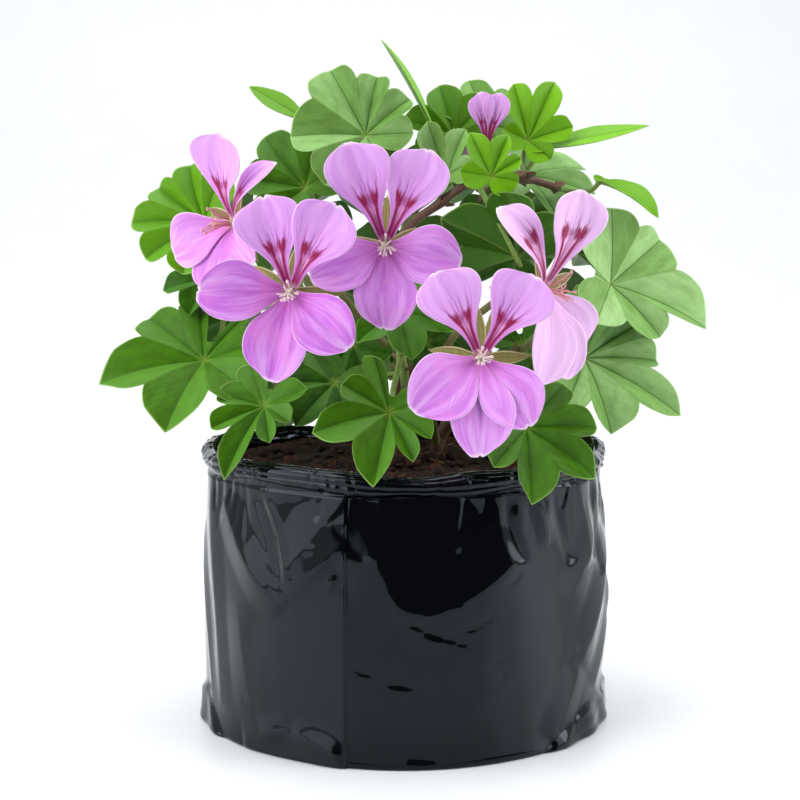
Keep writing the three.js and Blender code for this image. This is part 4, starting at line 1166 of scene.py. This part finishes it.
# Each bloom: its place, the way it faces, its petals (angle round the bloom, length, half width,
# then the lean and twist at the tip), the umbel that it hangs from, and how its looks differ
BLOOMS = {
    "bloom_left": {
        "at": (-47, -36, 147), "pose": (-42, 5, 0), "umbel": UMBEL_LEFT, "russet": 0.9,
        "petals": [(16, 26, 9, 84, -15), (46, 25, 5, 135, 35), (-120, 20, 8, 98, 0),
                   (178, 22, 7.5, 98, 0), (128, 20, 7.5, 104, 0)],
        "pale": 0.12, "stamens": 9.5,
    },
    "bloom_lower_left": {
        "at": (-30, -56, 129), "pose": (-5, 5, 0), "umbel": UMBEL_LEFT,
        "petals": [(-14, 27, 9, 98, 0), (32, 28, 9, 98, 0), (-91, 25, 8, 98, 0),
                   (-169, 25.5, 8.5, 98, 0), (132, 24, 8, 98, 0)],
        "pale": 0.0, "sepals_at": (8, 92, 150, -140, -58),
    },
    "bloom_upper_middle": {
        "at": (-5, -50, 141), "pose": (0, 5, 0), "umbel": UMBEL_LEFT,
        "petals": [(-20, 30, 8.8, 98, 0), (25, 29, 8.4, 98, 0), (-114, 23, 7.5, 98, 0),
                   (105, 22, 8, 98, 0), (180, 24, 8.4, 98, 0)],
        "pale": 0.05, "sepals_at": (2, 68, 142, -138, -84),
    },
    "bloom_lower_right": {
        "at": (20, -62, 112), "pose": (5, 15, 0), "umbel": UMBEL_RIGHT,
        "petals": [(-30, 26, 9, 98, 0), (34, 26, 9, 98, 0), (-130, 26, 9, 98, 0),
                   (-176, 29, 8.5, 98, 0), (150, 24, 8.5, 98, 0)],
        "pale": 0.1, "sepals_at": (0, 88, 150, -150, -78),
    },
    "bloom_right": {
        "at": (38, -44, 129), "pose": (38, 5, 0), "umbel": UMBEL_RIGHT, "russet": 0.8,
        "petals": [(6, 29, 10, 80, 0), (-38, 30, 7.5, 128, -25), (-156, 29, 8, 102, 0),
                   (-179, 26, 7, 98, 0), (145, 20, 7, 120, 0)],
        # This bloom is painted near white (pale 0.95): painted light where light falls on it brightest from
        # the right
        "pale": 0.95, "stamens": 11.0, "crown": 0.58,
    },
    "bloom_top": {
        "at": (24.5, 0, 168), "pose": (0, 8, 0), "umbel": UMBEL_TOP, "sepals": 5.0,
        "petals": [(-9, 17, 4, 98, 0), (12, 17, 4, 98, 0), (-105, 7, 3, 98, 0),
                   (180, 7, 3, 98, 0), (110, 7, 3, 98, 0)],
        "pale": 0.1, "stamens": 4.0,
    },
}


def flowing(share, places, values):
    """A smooth line through the values at their places"""
    places = np.array(places, dtype=float)
    values = np.array(values, dtype=float)
    slopes = np.gradient(values, places)
    slopes[0] = (values[1] - values[0]) / (places[1] - places[0])
    slopes[-1] = (values[-1] - values[-2]) / (places[-1] - places[-2])
    k = np.clip(np.searchsorted(places, share, side="right") - 1, 0, len(places) - 2)
    span = places[k + 1] - places[k]
    t = (share - places[k]) / span
    return ((2 * t**3 - 3 * t**2 + 1) * values[k] + (t**3 - 2 * t**2 + t) * span * slopes[k]
            + (-2 * t**3 + 3 * t**2) * values[k + 1] + (t**3 - t**2) * span * slopes[k + 1])


def petal_blade(at, pose, spec, form, rng, lift=42.0, root=0.9, rows=30, columns=23, rounding=0.035):
    """One petal: it rises off the bloom's axis, curls outwards and ends in a soft round tip"""
    phi, length, half, lean, twist = spec
    tip, side, axis = facing(pose)
    up = -tip
    turn = math.radians(phi)
    out = up * math.cos(turn) + side * math.sin(turn)
    across = side * math.cos(turn) - up * math.sin(turn)
    fine = np.linspace(0.0, 1.0, 81)
    leans = np.radians(lift + (lean - lift) * (fine[1:] + fine[:-1]) / 2)
    steps = (np.cos(leans)[:, None] * axis + np.sin(leans)[:, None] * out) * length / 80
    spine = np.array(at) + out * root + np.concatenate([[np.zeros(3)], np.cumsum(steps, axis=0)])
    places = np.linspace(-1.0, 1.0, columns)
    places = np.sign(places) * (1.0 - (1.0 - np.abs(places)) ** 1.15)
    row_share = 1.0 - (1.0 - np.linspace(0.0, 1.0, rows)) ** 1.15
    s, t = np.meshgrid(row_share, places, indexing="ij")
    dent = rng.uniform(0.0, 0.03) * np.exp(-((t - rng.uniform(-0.2, 0.2)) / 0.16) ** 2)
    skew = rng.uniform(-0.03, 0.03)
    share = s - (rounding * np.abs(t) ** 2.3 + dent + skew * t) * s**4
    middle = np.stack([np.interp(share, fine, spine[:, k]) for k in range(3)], axis=-1)
    bend = np.radians(lift + (lean - lift) * share)[..., None]
    face = axis * np.sin(bend) - out * np.cos(bend)
    spun = np.radians(twist * share)[..., None]
    wide = across * np.cos(spun) + face * np.sin(spun)
    proud = face * np.cos(spun) - across * np.sin(spun)
    breadth = flowing(row_share, *form)[:, None] * half
    wavy = 1.0 + 0.02 * np.sin(9.0 * s + rng.uniform(0, 6.0)) * np.sign(t)
    reach = t * breadth * wavy
    cup = 0.25 * (np.sqrt(reach**2 + 0.8) - 0.9)
    phase = rng.uniform(0, math.tau, 4)
    frill = np.abs(t) ** 2.5 * s**1.5 * half / 9.0
    wave_on = 0.55 * np.sin(7.0 * s * np.sign(t + 1e-6) + phase[0])
    wave_on = wave_on + 0.3 * np.sin(15.0 * s + 3 * t + phase[1])
    crinkle = 0.10 * np.sin(t * 13.0 + phase[2]) * np.minimum(1.0, s * 2.2) * half / 9.0
    furrow = -0.35 * np.exp(-((t / 0.16) ** 2)) * np.exp(-(((s - 0.35) / 0.35) ** 2)) * half / 9.0
    height = cup + frill * wave_on + crinkle + furrow - 0.5 * frill * np.maximum(0, s - 0.6)
    top = middle + wide * reach[..., None] + proud * height[..., None]
    thick = PETAL_THICKNESS * (1.0 - 0.6 * np.abs(t) ** 6) * (1.0 - 0.5 * s**8)
    thick = thick + 0.35 * np.exp(-((s / 0.12) ** 2))
    bottom = top - proud * thick[..., None]
    points, quads = two_faced(top, bottom)
    marks = {
        "share": np.tile(share.ravel(), 2),
        "place": np.tile(t.ravel(), 2),
        "breadth": np.tile(np.repeat(breadth.ravel(), columns), 2),
        "edge": np.tile(np.maximum(np.abs(t), s).ravel(), 2),
        "under": np.repeat([0.0, 1.0], t.size),
    }
    return points, quads, marks


def round_cup(at, pose, profile, sides, ribs):
    """A small cup or boss with five ribs round a flower's axis, from its depths and radii"""
    tip, side, front = facing(pose)
    depths = np.array([depth for depth, _ in profile], dtype=float)
    radii = np.array([radius for _, radius in profile], dtype=float)
    route = np.array(at) + front * depths[:, None]
    turns = math.tau * np.arange(sides) / sides
    ribbed = radii[:, None] * (1.0 + ribs * np.cos(5 * turns)[None])
    ring = tip * np.cos(turns)[None, :, None] + side * np.sin(turns)[None, :, None]
    points = (route[:, None] + ring * ribbed[..., None]).reshape(-1, 3)
    return capped_rings(points, [route[0], route[-1]], len(profile), sides)


def lilac_petal():
    """Lilac petals with fine veins; the upper ones carry crimson streaks and blots"""
    petal = Finish("lilac_petal", IOR=1.25, Sheen_Weight=0.1, Sheen_Roughness=0.4)
    share, place, breadth, edge = petal.marks("share", "place", "breadth", "edge")
    under, upper, pale, crown, seed = petal.marks("under", "upper", "pale", "crown", "seed")
    fibres = petal.streaks(place * 3.2, share * 1.3, seed)
    threads = petal.streaks(place * 13.0, share * 3.5, seed)
    clouds = petal.grain(120.0, 3.0, 0.6)
    grain = petal.grain(1500.0, 3.0, 0.6)
    wander = petal.grain(230.0, 3.0, 0.6) - 0.5
    mixed = fibres * 0.7 + threads * 0.3
    lilac = petal.blend(mixed.ramp(0.36, 0.64), shade(196, 104, 216), shade(224, 156, 240))
    lilac = petal.blend(clouds.ramp(0.48, 0.7) * 0.45, lilac, shade(232, 132, 214))
    lilac = petal.blend(share.ramp(0.6, 1.0) * fibres.ramp(0.4, 0.6) * 0.4, lilac, shade(240, 190, 246))
    lilac = petal.blend(upper * 0.55, lilac, shade(232, 176, 246))
    inner = share.drop(0.05, 0.6)
    colour = petal.blend(inner * 0.5, lilac, shade(216, 92, 200))
    # Pale blooms are painted toward near white; on the bloom on the right this is painted light
    colour = petal.blend(pale * 0.8, colour, shade(246, 206, 248))
    # Main veins fan out from the claw; they fork halfway and fade before the margin
    spread = place + wander * 0.16
    veins = (spread * 2.0 + 0.5).work("FRACT") - 0.5
    far = veins.size() * 0.5 * breadth
    main = far.drop(0.02, 0.26) * share.drop(0.5, 0.86)
    forks = (spread * 5.0 + 0.5).work("FRACT") - 0.5
    fork_far = forks.size() * 0.2 * breadth
    forked = fork_far.drop(0.0, 0.17) * share.ramp(0.3, 0.5) * share.drop(0.55, 0.92)
    drawn = upper * 0.34 + 0.16
    colour = petal.blend(main * drawn, colour, shade(176, 50, 160))
    colour = petal.blend(forked * drawn * 0.7, colour, shade(186, 76, 176))
    # On the upper petals streaks run up from the claw and end in ragged blots with feathered ends
    ragged = (threads - 0.5) * 0.22
    off = (place.size() - 0.4 + wander * 0.1).size() * breadth
    streak = off.drop(0.2, 0.62) * share.drop(crown - 0.04, crown + 0.02) * share.ramp(0.02, 0.09)
    streak = streak * (threads.ramp(0.34, 0.5) * 0.5 + 0.5)
    middle = place.size() * breadth
    thread = middle.drop(0.08, 0.26) * share.drop(crown - 0.16, crown - 0.04) * share.ramp(0.05, 0.14)
    lifted = (share + ragged - crown).size()
    blots = lifted.drop(0.035, 0.095) * (place.size() - 0.36).size().drop(0.13, 0.28)
    bridge = lifted.drop(0.015, 0.06) * place.size().drop(0.2, 0.4) * 0.55
    feather = ((spread * 3.4).work("FRACT") - 0.5).size() * 0.3 * breadth
    feathers = feather.drop(0.04, 0.24) * share.ramp(crown - 0.02, crown + 0.02)
    feathers = feathers * (share + ragged).drop(crown + 0.08, crown + 0.26) * place.size().drop(0.5, 0.8)
    lit = share.drop(crown - 0.1, crown - 0.02) * place.size().drop(0.15, 0.4) * share.ramp(0.12, 0.3)
    colour = petal.blend(lit * upper * 0.45, colour, shade(250, 214, 240))
    colour = petal.blend(feathers * upper * 0.8, colour, shade(138, 20, 104))
    flush = (share + ragged * 0.6 - crown * 0.55).size().drop(0.1, 0.34) * place.size().drop(0.5, 0.95)
    colour = petal.blend(flush * upper * 0.3, colour, shade(214, 70, 160))
    marking = streak.work("MAXIMUM", blots).work("MAXIMUM", bridge).work("MAXIMUM", thread * 0.6) * upper
    marking = marking * (under * -0.75 + 1.0)
    crimson = petal.blend(grain, shade(118, 0, 52), shade(164, 8, 74))
    colour = petal.blend(marking * 0.95, colour, crimson)
    throat = share.drop(0.03, 0.11)
    colour = petal.blend(throat * 0.6, colour, shade(232, 190, 200))
    colour = petal.blend(under * 0.45, colour, shade(238, 196, 238))
    rim = edge.ramp(0.955, 0.99)
    petal.colour(petal.blend(rim * 0.7, colour, shade(250, 230, 250)))
    petal.roughness(grain * 0.15 + 0.42)
    petal.relief(grain * 0.4 + clouds * 0.6 - main * 0.5, 0.00015, 0.7)
    return petal.material


def calyx_green():
    """Olive to russet sepals with pale thin margins, and the cup and stalk behind them"""
    calyx = Finish("downy_calyx", IOR=1.45, Sheen_Weight=0.2)
    share, place, russet = calyx.marks("share", "place", "russet")
    grooves = calyx.grain(1100.0, 4.0, 0.6, (1.0, 1.0, 0.4))
    olive = calyx.blend(grooves, shade(118, 124, 48), shade(172, 168, 92))
    brown = calyx.blend(grooves, shade(98, 62, 34), shade(168, 124, 78))
    colour = calyx.blend(russet, olive, brown)
    ribs = ((place * 1.6 + 0.5).work("FRACT") - 0.5).size().drop(0.03, 0.16)
    colour = calyx.blend(ribs * 0.4, colour, shade(84, 84, 34))
    pale = place.size().ramp(0.68, 0.95)
    colour = calyx.blend(pale * 0.8, colour, shade(214, 206, 160))
    calyx.colour(calyx.blend(share.ramp(0.9, 1.0) * 0.5, colour, shade(190, 150, 120)))
    calyx.roughness(grooves * 0.2 + 0.5)
    calyx.relief(grooves - ribs * 0.5, 0.0002, 0.8)
    return calyx.material


def stamen_pink():
    """Whitish or reddish threads"""
    stamen = Finish("stamen_pink", IOR=1.45)
    share, red = stamen.marks("share", "red")
    grain = stamen.grain(1300.0, 3.0, 0.6)
    pale = stamen.blend(share.ramp(0.1, 0.9), shade(214, 220, 170), shade(252, 244, 248))
    flushed = stamen.blend(grain, shade(186, 84, 92), shade(232, 152, 152))
    colour = stamen.blend(red, pale, flushed)
    stamen.colour(stamen.blend(grain.ramp(0.55, 0.85) * 0.2, colour, shade(206, 110, 130)))
    stamen.roughness(grain * 0.2 + 0.4)
    stamen.relief(grain, 0.0001, 0.6)
    return stamen.material


LILAC = lilac_petal()
CALYX_GREEN = calyx_green()
STAMEN_PINK = stamen_pink()


def downy_hairs(growth, route, radius, count, rng, **marks):
    """Fine soft hairs that stand off a shoot, each a thin three-sided spike"""
    ahead = np.gradient(route, axis=0)
    for _ in range(count):
        k = rng.integers(0, len(route))
        along = unit(ahead[k])
        side = unit(np.cross(along, rng.standard_normal(3)))
        root = route[k] + side * radius * 0.9
        end = root + side * rng.uniform(0.45, 0.9) + along * rng.uniform(-0.15, 0.3)
        beside = np.cross(side, along)
        turns = (0.0, math.tau / 3, math.tau * 2 / 3)
        ring = [root + (along * math.cos(turn) + beside * math.sin(turn)) * 0.045 for turn in turns]
        points = np.array([*ring, end])
        growth.add(points, [], [(0, 2, 1), (0, 1, 3), (1, 2, 3), (2, 0, 3)], **marks)


def bloom_petals(bloom, rng):
    """Five petals and the small cup that holds them"""
    growth = Growth()
    _, _, front = facing(bloom["pose"])
    for phi, length, half, lean, twist in bloom["petals"]:
        is_upper = abs(phi) < 60
        form = UPPER_PETAL if is_upper else LOWER_PETAL
        # The lowest petal grows behind its two neighbours
        behind = float(abs(phi) > 165)
        at = np.array(bloom["at"]) - front * LOWEST_PETAL_BACK * behind
        spec = (phi, length, half, lean + LOWEST_PETAL_LEAN * behind, twist)
        points, quads, marks = petal_blade(at, bloom["pose"], spec, form, rng)
        pale = bloom["pale"] * (0.85 if is_upper else 1.0) + rng.uniform(0.0, 0.12)
        crown = bloom.get("crown", 0.46) + rng.uniform(-0.02, 0.02)
        seed = rng.uniform(0.0, 90.0)
        growth.add(points, quads, [], upper=float(is_upper), pale=pale, crown=crown, seed=seed, **marks)
    profile = [(-CUP_BACK, 1.0), (-0.45, 1.5), (0.0, CUP_RADIUS), (0.35, 1.5), (CUP_FRONT, 1.0), (0.3, 0.5)]
    cup = round_cup(bloom["at"], bloom["pose"], profile, 20, 0.08)
    growth.add(*cup, share=0.0, place=0.0, breadth=1.0, edge=0.0, under=0.0,
               upper=0.0, pale=0.4, crown=0.46, seed=0.0)
    return growth


def bloom_calyx(bloom, rng):
    """The downy stalk, the cup behind the petals and its five sepals"""
    growth = Growth()
    _, _, front = facing(bloom["pose"])
    russet = bloom.get("russet", 0.0)
    cup = np.array(bloom["at"]) - front * (CUP_BACK + FIT_GAP)
    away = np.array(bloom["umbel"], dtype=float) - cup
    reach = np.linalg.norm(away)
    stop = np.array(bloom["umbel"]) - away / reach * (UMBEL_RADIUS - 0.3)
    root = cup - front * 1.0
    bow = root - front * 0.35 * reach
    bow = bow + (stop - bow) * 0.25
    route = smooth_route([root, bow, stop], 34)
    share = np.linspace(0.0, 1.0, 34)
    radius = 0.74 + 0.3 * np.exp(-((share / 0.1) ** 2)) + 0.2 * np.exp(-(((share - 1.0) / 0.06) ** 2))
    growth.add(*shoot(route, radius, 9), share=0.4, place=0.2, russet=0.15 + 0.5 * russet)
    downy_hairs(growth, route, 0.8, HAIRS_ON_A_STALK, rng, share=0.2, place=1.0, russet=russet)
    profile = [(-2.2, 0.8), (-1.7, 1.25), (-1.1, 1.6), (-0.5, 1.75), (-0.1, 1.7), (0.0, 1.3)]
    growth.add(*round_cup(cup, bloom["pose"], profile, 20, 0.07), share=0.1, place=0.3, russet=russet)
    for phi in bloom.get("sepals_at", SEPAL_ANGLES):
        length = bloom.get("sepals", SEPAL_LENGTH) * rng.uniform(0.93, 1.0)
        spec = (phi, length, SEPAL_HALF, 96 + rng.uniform(-4, 6), rng.uniform(-8, 8))
        points, quads, marks = petal_blade(
            cup - front * 0.5, bloom["pose"], spec, SEPAL,
            rng, lift=88.0, root=0.6, rows=18, columns=9, rounding=0.02)
        growth.add(points, quads, [], share=marks["share"], place=marks["place"], russet=russet)
    return growth


def bloom_stamens(bloom, rng):
    """Seven stamens, and the style with its stigma in the middle"""
    growth = Growth()
    tip, side, front = facing(bloom["pose"])
    red = 0.8 if bloom.get("russet") else 0.0
    length = bloom.get("stamens", STAMEN_LENGTH)
    at = np.array(bloom["at"]) + front * (CUP_FRONT + 0.1)
    for turn in STAMEN_ANGLES:
        angle = math.radians(turn + rng.uniform(-8, 8))
        lean = tip * math.cos(angle) + side * math.sin(angle)
        long = length * rng.uniform(0.72, 1.0)
        wide = rng.uniform(1.6, 2.7)
        start = at + lean * 0.55 - front * 0.3
        middle = at + lean * wide * 0.75 + front * long * 0.55
        end = at + lean * wide * (1.5 if red > 0.5 else 1.1) + front * long - tip * rng.uniform(-0.8, 0.4)
        route = smooth_route([start, middle, end], 12)
        share = np.linspace(0.0, 1.0, 12)
        shares = np.concatenate([np.repeat(share, 6), [0.0, 1.0]])
        growth.add(*shoot(route, 0.30 - 0.12 * share, 6), share=shares, red=red)
        # Every other stamen still carries its small pollen sac
        if turn % 4 == 0:
            head = smooth_route([end - lean * 0.5, end + front * 0.1, end + lean * 0.5], 6)
            girth = [0.16, 0.34, 0.42, 0.42, 0.34, 0.16]
            growth.add(*shoot(head, girth, 6), share=0.9, red=max(red, 0.4))
    # The style in the middle, with its five curled stigma arms
    top = at + front * length * 0.55 + tip * 0.6
    route = smooth_route([at - front * 0.2, at + front * length * 0.3 + tip * 0.2, top], 10)
    growth.add(*shoot(route, np.full(10, 0.34), 7), share=0.6, red=max(red, 0.2))
    for k in range(5):
        angle = math.tau * k / 5 + rng.uniform(-0.2, 0.2)
        out = tip * math.cos(angle) + side * math.sin(angle)
        steps = ((0.0, 0.0), (0.9, 0.7), (1.2, 1.7), (0.7, 2.3))
        route = smooth_route([top + front * rise + out * reach for rise, reach in steps], 10)
        growth.add(*shoot(route, np.linspace(0.3, 0.14, 10), 6), share=0.8, red=max(red, 0.35))
    profile = [(-0.1, 1.15), (0.25, 1.2), (0.6, 0.9), (0.85, 0.45)]
    growth.add(*round_cup(at, bloom["pose"], profile, 15, 0.1), share=0.0, red=0.1)
    return growth


for number, (name, bloom) in enumerate(BLOOMS.items()):
    rng = np.random.default_rng(500 + number)
    made = [
        (bloom_petals(bloom, rng), "petals", LILAC, "petal"),
        (bloom_calyx(bloom, rng), "calyx", CALYX_GREEN, "calyx"),
        (bloom_stamens(bloom, rng), "stamens", STAMEN_PINK, "stamen"),
    ]
    for growth, part, finish, slot in made:
        piece = growth.piece(f"{name}_{part}_fine", finish)
        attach(piece, "root")
        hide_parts(f"{name}_{part}")

# The floor: a plain pale sheet of card that curves up behind the plant. It ends 0.3 m in front of
# the bag, like the edge of a table, and the glossy film mirrors the dark beyond that edge.
FLOOR_HALF = 1.6
FLOOR_FRONT = -0.31
FLOOR_BEND = 0.9
FLOOR_BEND_RADIUS = 0.5
FLOOR_BEND_STEPS = 24
FLOOR_TOP = 1.8


def pale_floor():
    """Smooth white card"""
    floor = Finish("pale_card", IOR=1.45)
    grain = floor.grain(30.0, 2.0, 0.5)
    floor.colour(floor.blend(grain, shade(244, 246, 250), shade(249, 251, 253)))
    floor.roughness(grain * 0.1 + 0.28)
    return floor.material


def card_sheet():
    """The sheet lies flat, bends up behind the plant and ends upright"""
    profile = [(FLOOR_FRONT, 0.0), (FLOOR_BEND, 0.0)]
    for k in range(1, FLOOR_BEND_STEPS + 1):
        turn = math.radians(90.0 * k / FLOOR_BEND_STEPS)
        back = FLOOR_BEND + FLOOR_BEND_RADIUS * math.sin(turn)
        profile.append((back, FLOOR_BEND_RADIUS * (1.0 - math.cos(turn))))
    profile.append((FLOOR_BEND + FLOOR_BEND_RADIUS, FLOOR_TOP))
    points = [(x, y, z) for y, z in profile for x in (-FLOOR_HALF, FLOOR_HALF)]
    quads = [(2 * k, 2 * k + 1, 2 * k + 3, 2 * k + 2) for k in range(len(profile) - 1)]
    return weave_mesh("pale_card_floor", np.array(points) * 1000.0, quads, [], {}, pale_floor())


floor = card_sheet()

# The light: a bright room with a large soft lamp on the left, one on the right and one above, and
# two low windows whose light runs down the sides of the film. Behind the viewer the room is dark.
ROOM_GLOW = 0.76
DARKENING = 0.96


def room_light():
    """An even glow from all round, dark behind the viewer, and white where it is seen directly"""
    world = bpy.data.worlds.new("bright_room")
    bpy.context.scene.world = world
    world.use_nodes = True
    tree = world.node_tree
    tree.nodes.clear()
    heading = tree.nodes.new("ShaderNodeTexCoord").outputs["Generated"]
    parts = tree.nodes.new("ShaderNodeSeparateXYZ")
    tree.links.new(heading, parts.inputs[0])
    x = Flow(tree, parts.outputs[0])
    y = Flow(tree, parts.outputs[1])
    z = Flow(tree, parts.outputs[2])
    behind = (x * 0.3 - y * 0.95).ramp(0.56, 0.64) * z.drop(0.75, 0.9)
    strength = behind * -DARKENING + 1.0
    glow = tree.nodes.new("ShaderNodeBackground")
    glow.inputs["Color"].default_value = (0.96, 0.98, 1.0, 1.0)
    tree.links.new((strength * ROOM_GLOW).socket, glow.inputs["Strength"])
    plain = tree.nodes.new("ShaderNodeBackground")
    plain.inputs["Color"].default_value = (1.0, 1.0, 1.0, 1.0)
    plain.inputs["Strength"].default_value = 1.0
    seen = tree.nodes.new("ShaderNodeLightPath")
    both = tree.nodes.new("ShaderNodeMixShader")
    tree.links.new(seen.outputs["Is Camera Ray"], both.inputs[0])
    tree.links.new(glow.outputs[0], both.inputs[1])
    tree.links.new(plain.outputs[0], both.inputs[2])
    out = tree.nodes.new("ShaderNodeOutputWorld")
    tree.links.new(both.outputs[0], out.inputs[0])


def soft_lamp(name, at, aim_height, width, height, power):
    """A flat lamp that faces a point on the middle line of the plant"""
    lamp = bpy.data.lights.new(name, "AREA")
    lamp.shape = "RECTANGLE"
    lamp.size = width
    lamp.size_y = height
    lamp.energy = power
    stand = bpy.data.objects.new(name, lamp)
    bpy.context.scene.collection.objects.link(stand)
    stand.location = at
    away = np.array(at) - np.array((0.0, 0.0, aim_height))
    heading = math.atan2(away[0], -away[1])
    rise = math.atan2(away[2], math.hypot(away[0], away[1]))
    stand.rotation_euler = (math.radians(90.0) - rise, 0.0, heading)


room_light()
soft_lamp("left_lamp", (-0.95, -0.45, 0.75), 0.08, 1.2, 1.0, 9.2)
soft_lamp("right_lamp", (1.05, -0.35, 0.6), 0.08, 0.8, 0.9, 6.0)
soft_lamp("left_window", (-0.82, -0.48, 0.26), 0.06, 1.0, 0.46, 2.6)
soft_lamp("right_window", (0.95, -0.12, 0.32), 0.06, 0.35, 0.45, 1.6)
soft_lamp("top_lamp", (0.0, 0.25, 1.3), 0.1, 1.4, 1.0, 12.0)

# The view: half a metre in front of the plant, a little above it, looking slightly down.
view = bpy.data.cameras.new("view")
view.sensor_width = 36.0
view.lens = 75.6
viewer = bpy.data.objects.new("view", view)
bpy.context.scene.collection.objects.link(viewer)
viewer.location = (-0.00107, -0.5, 0.15)
viewer.rotation_euler = (math.radians(90.0 - 6.4), 0.0, 0.0)
bpy.context.scene.camera = viewer
bpy.context.scene.view_settings.view_transform = "Standard"
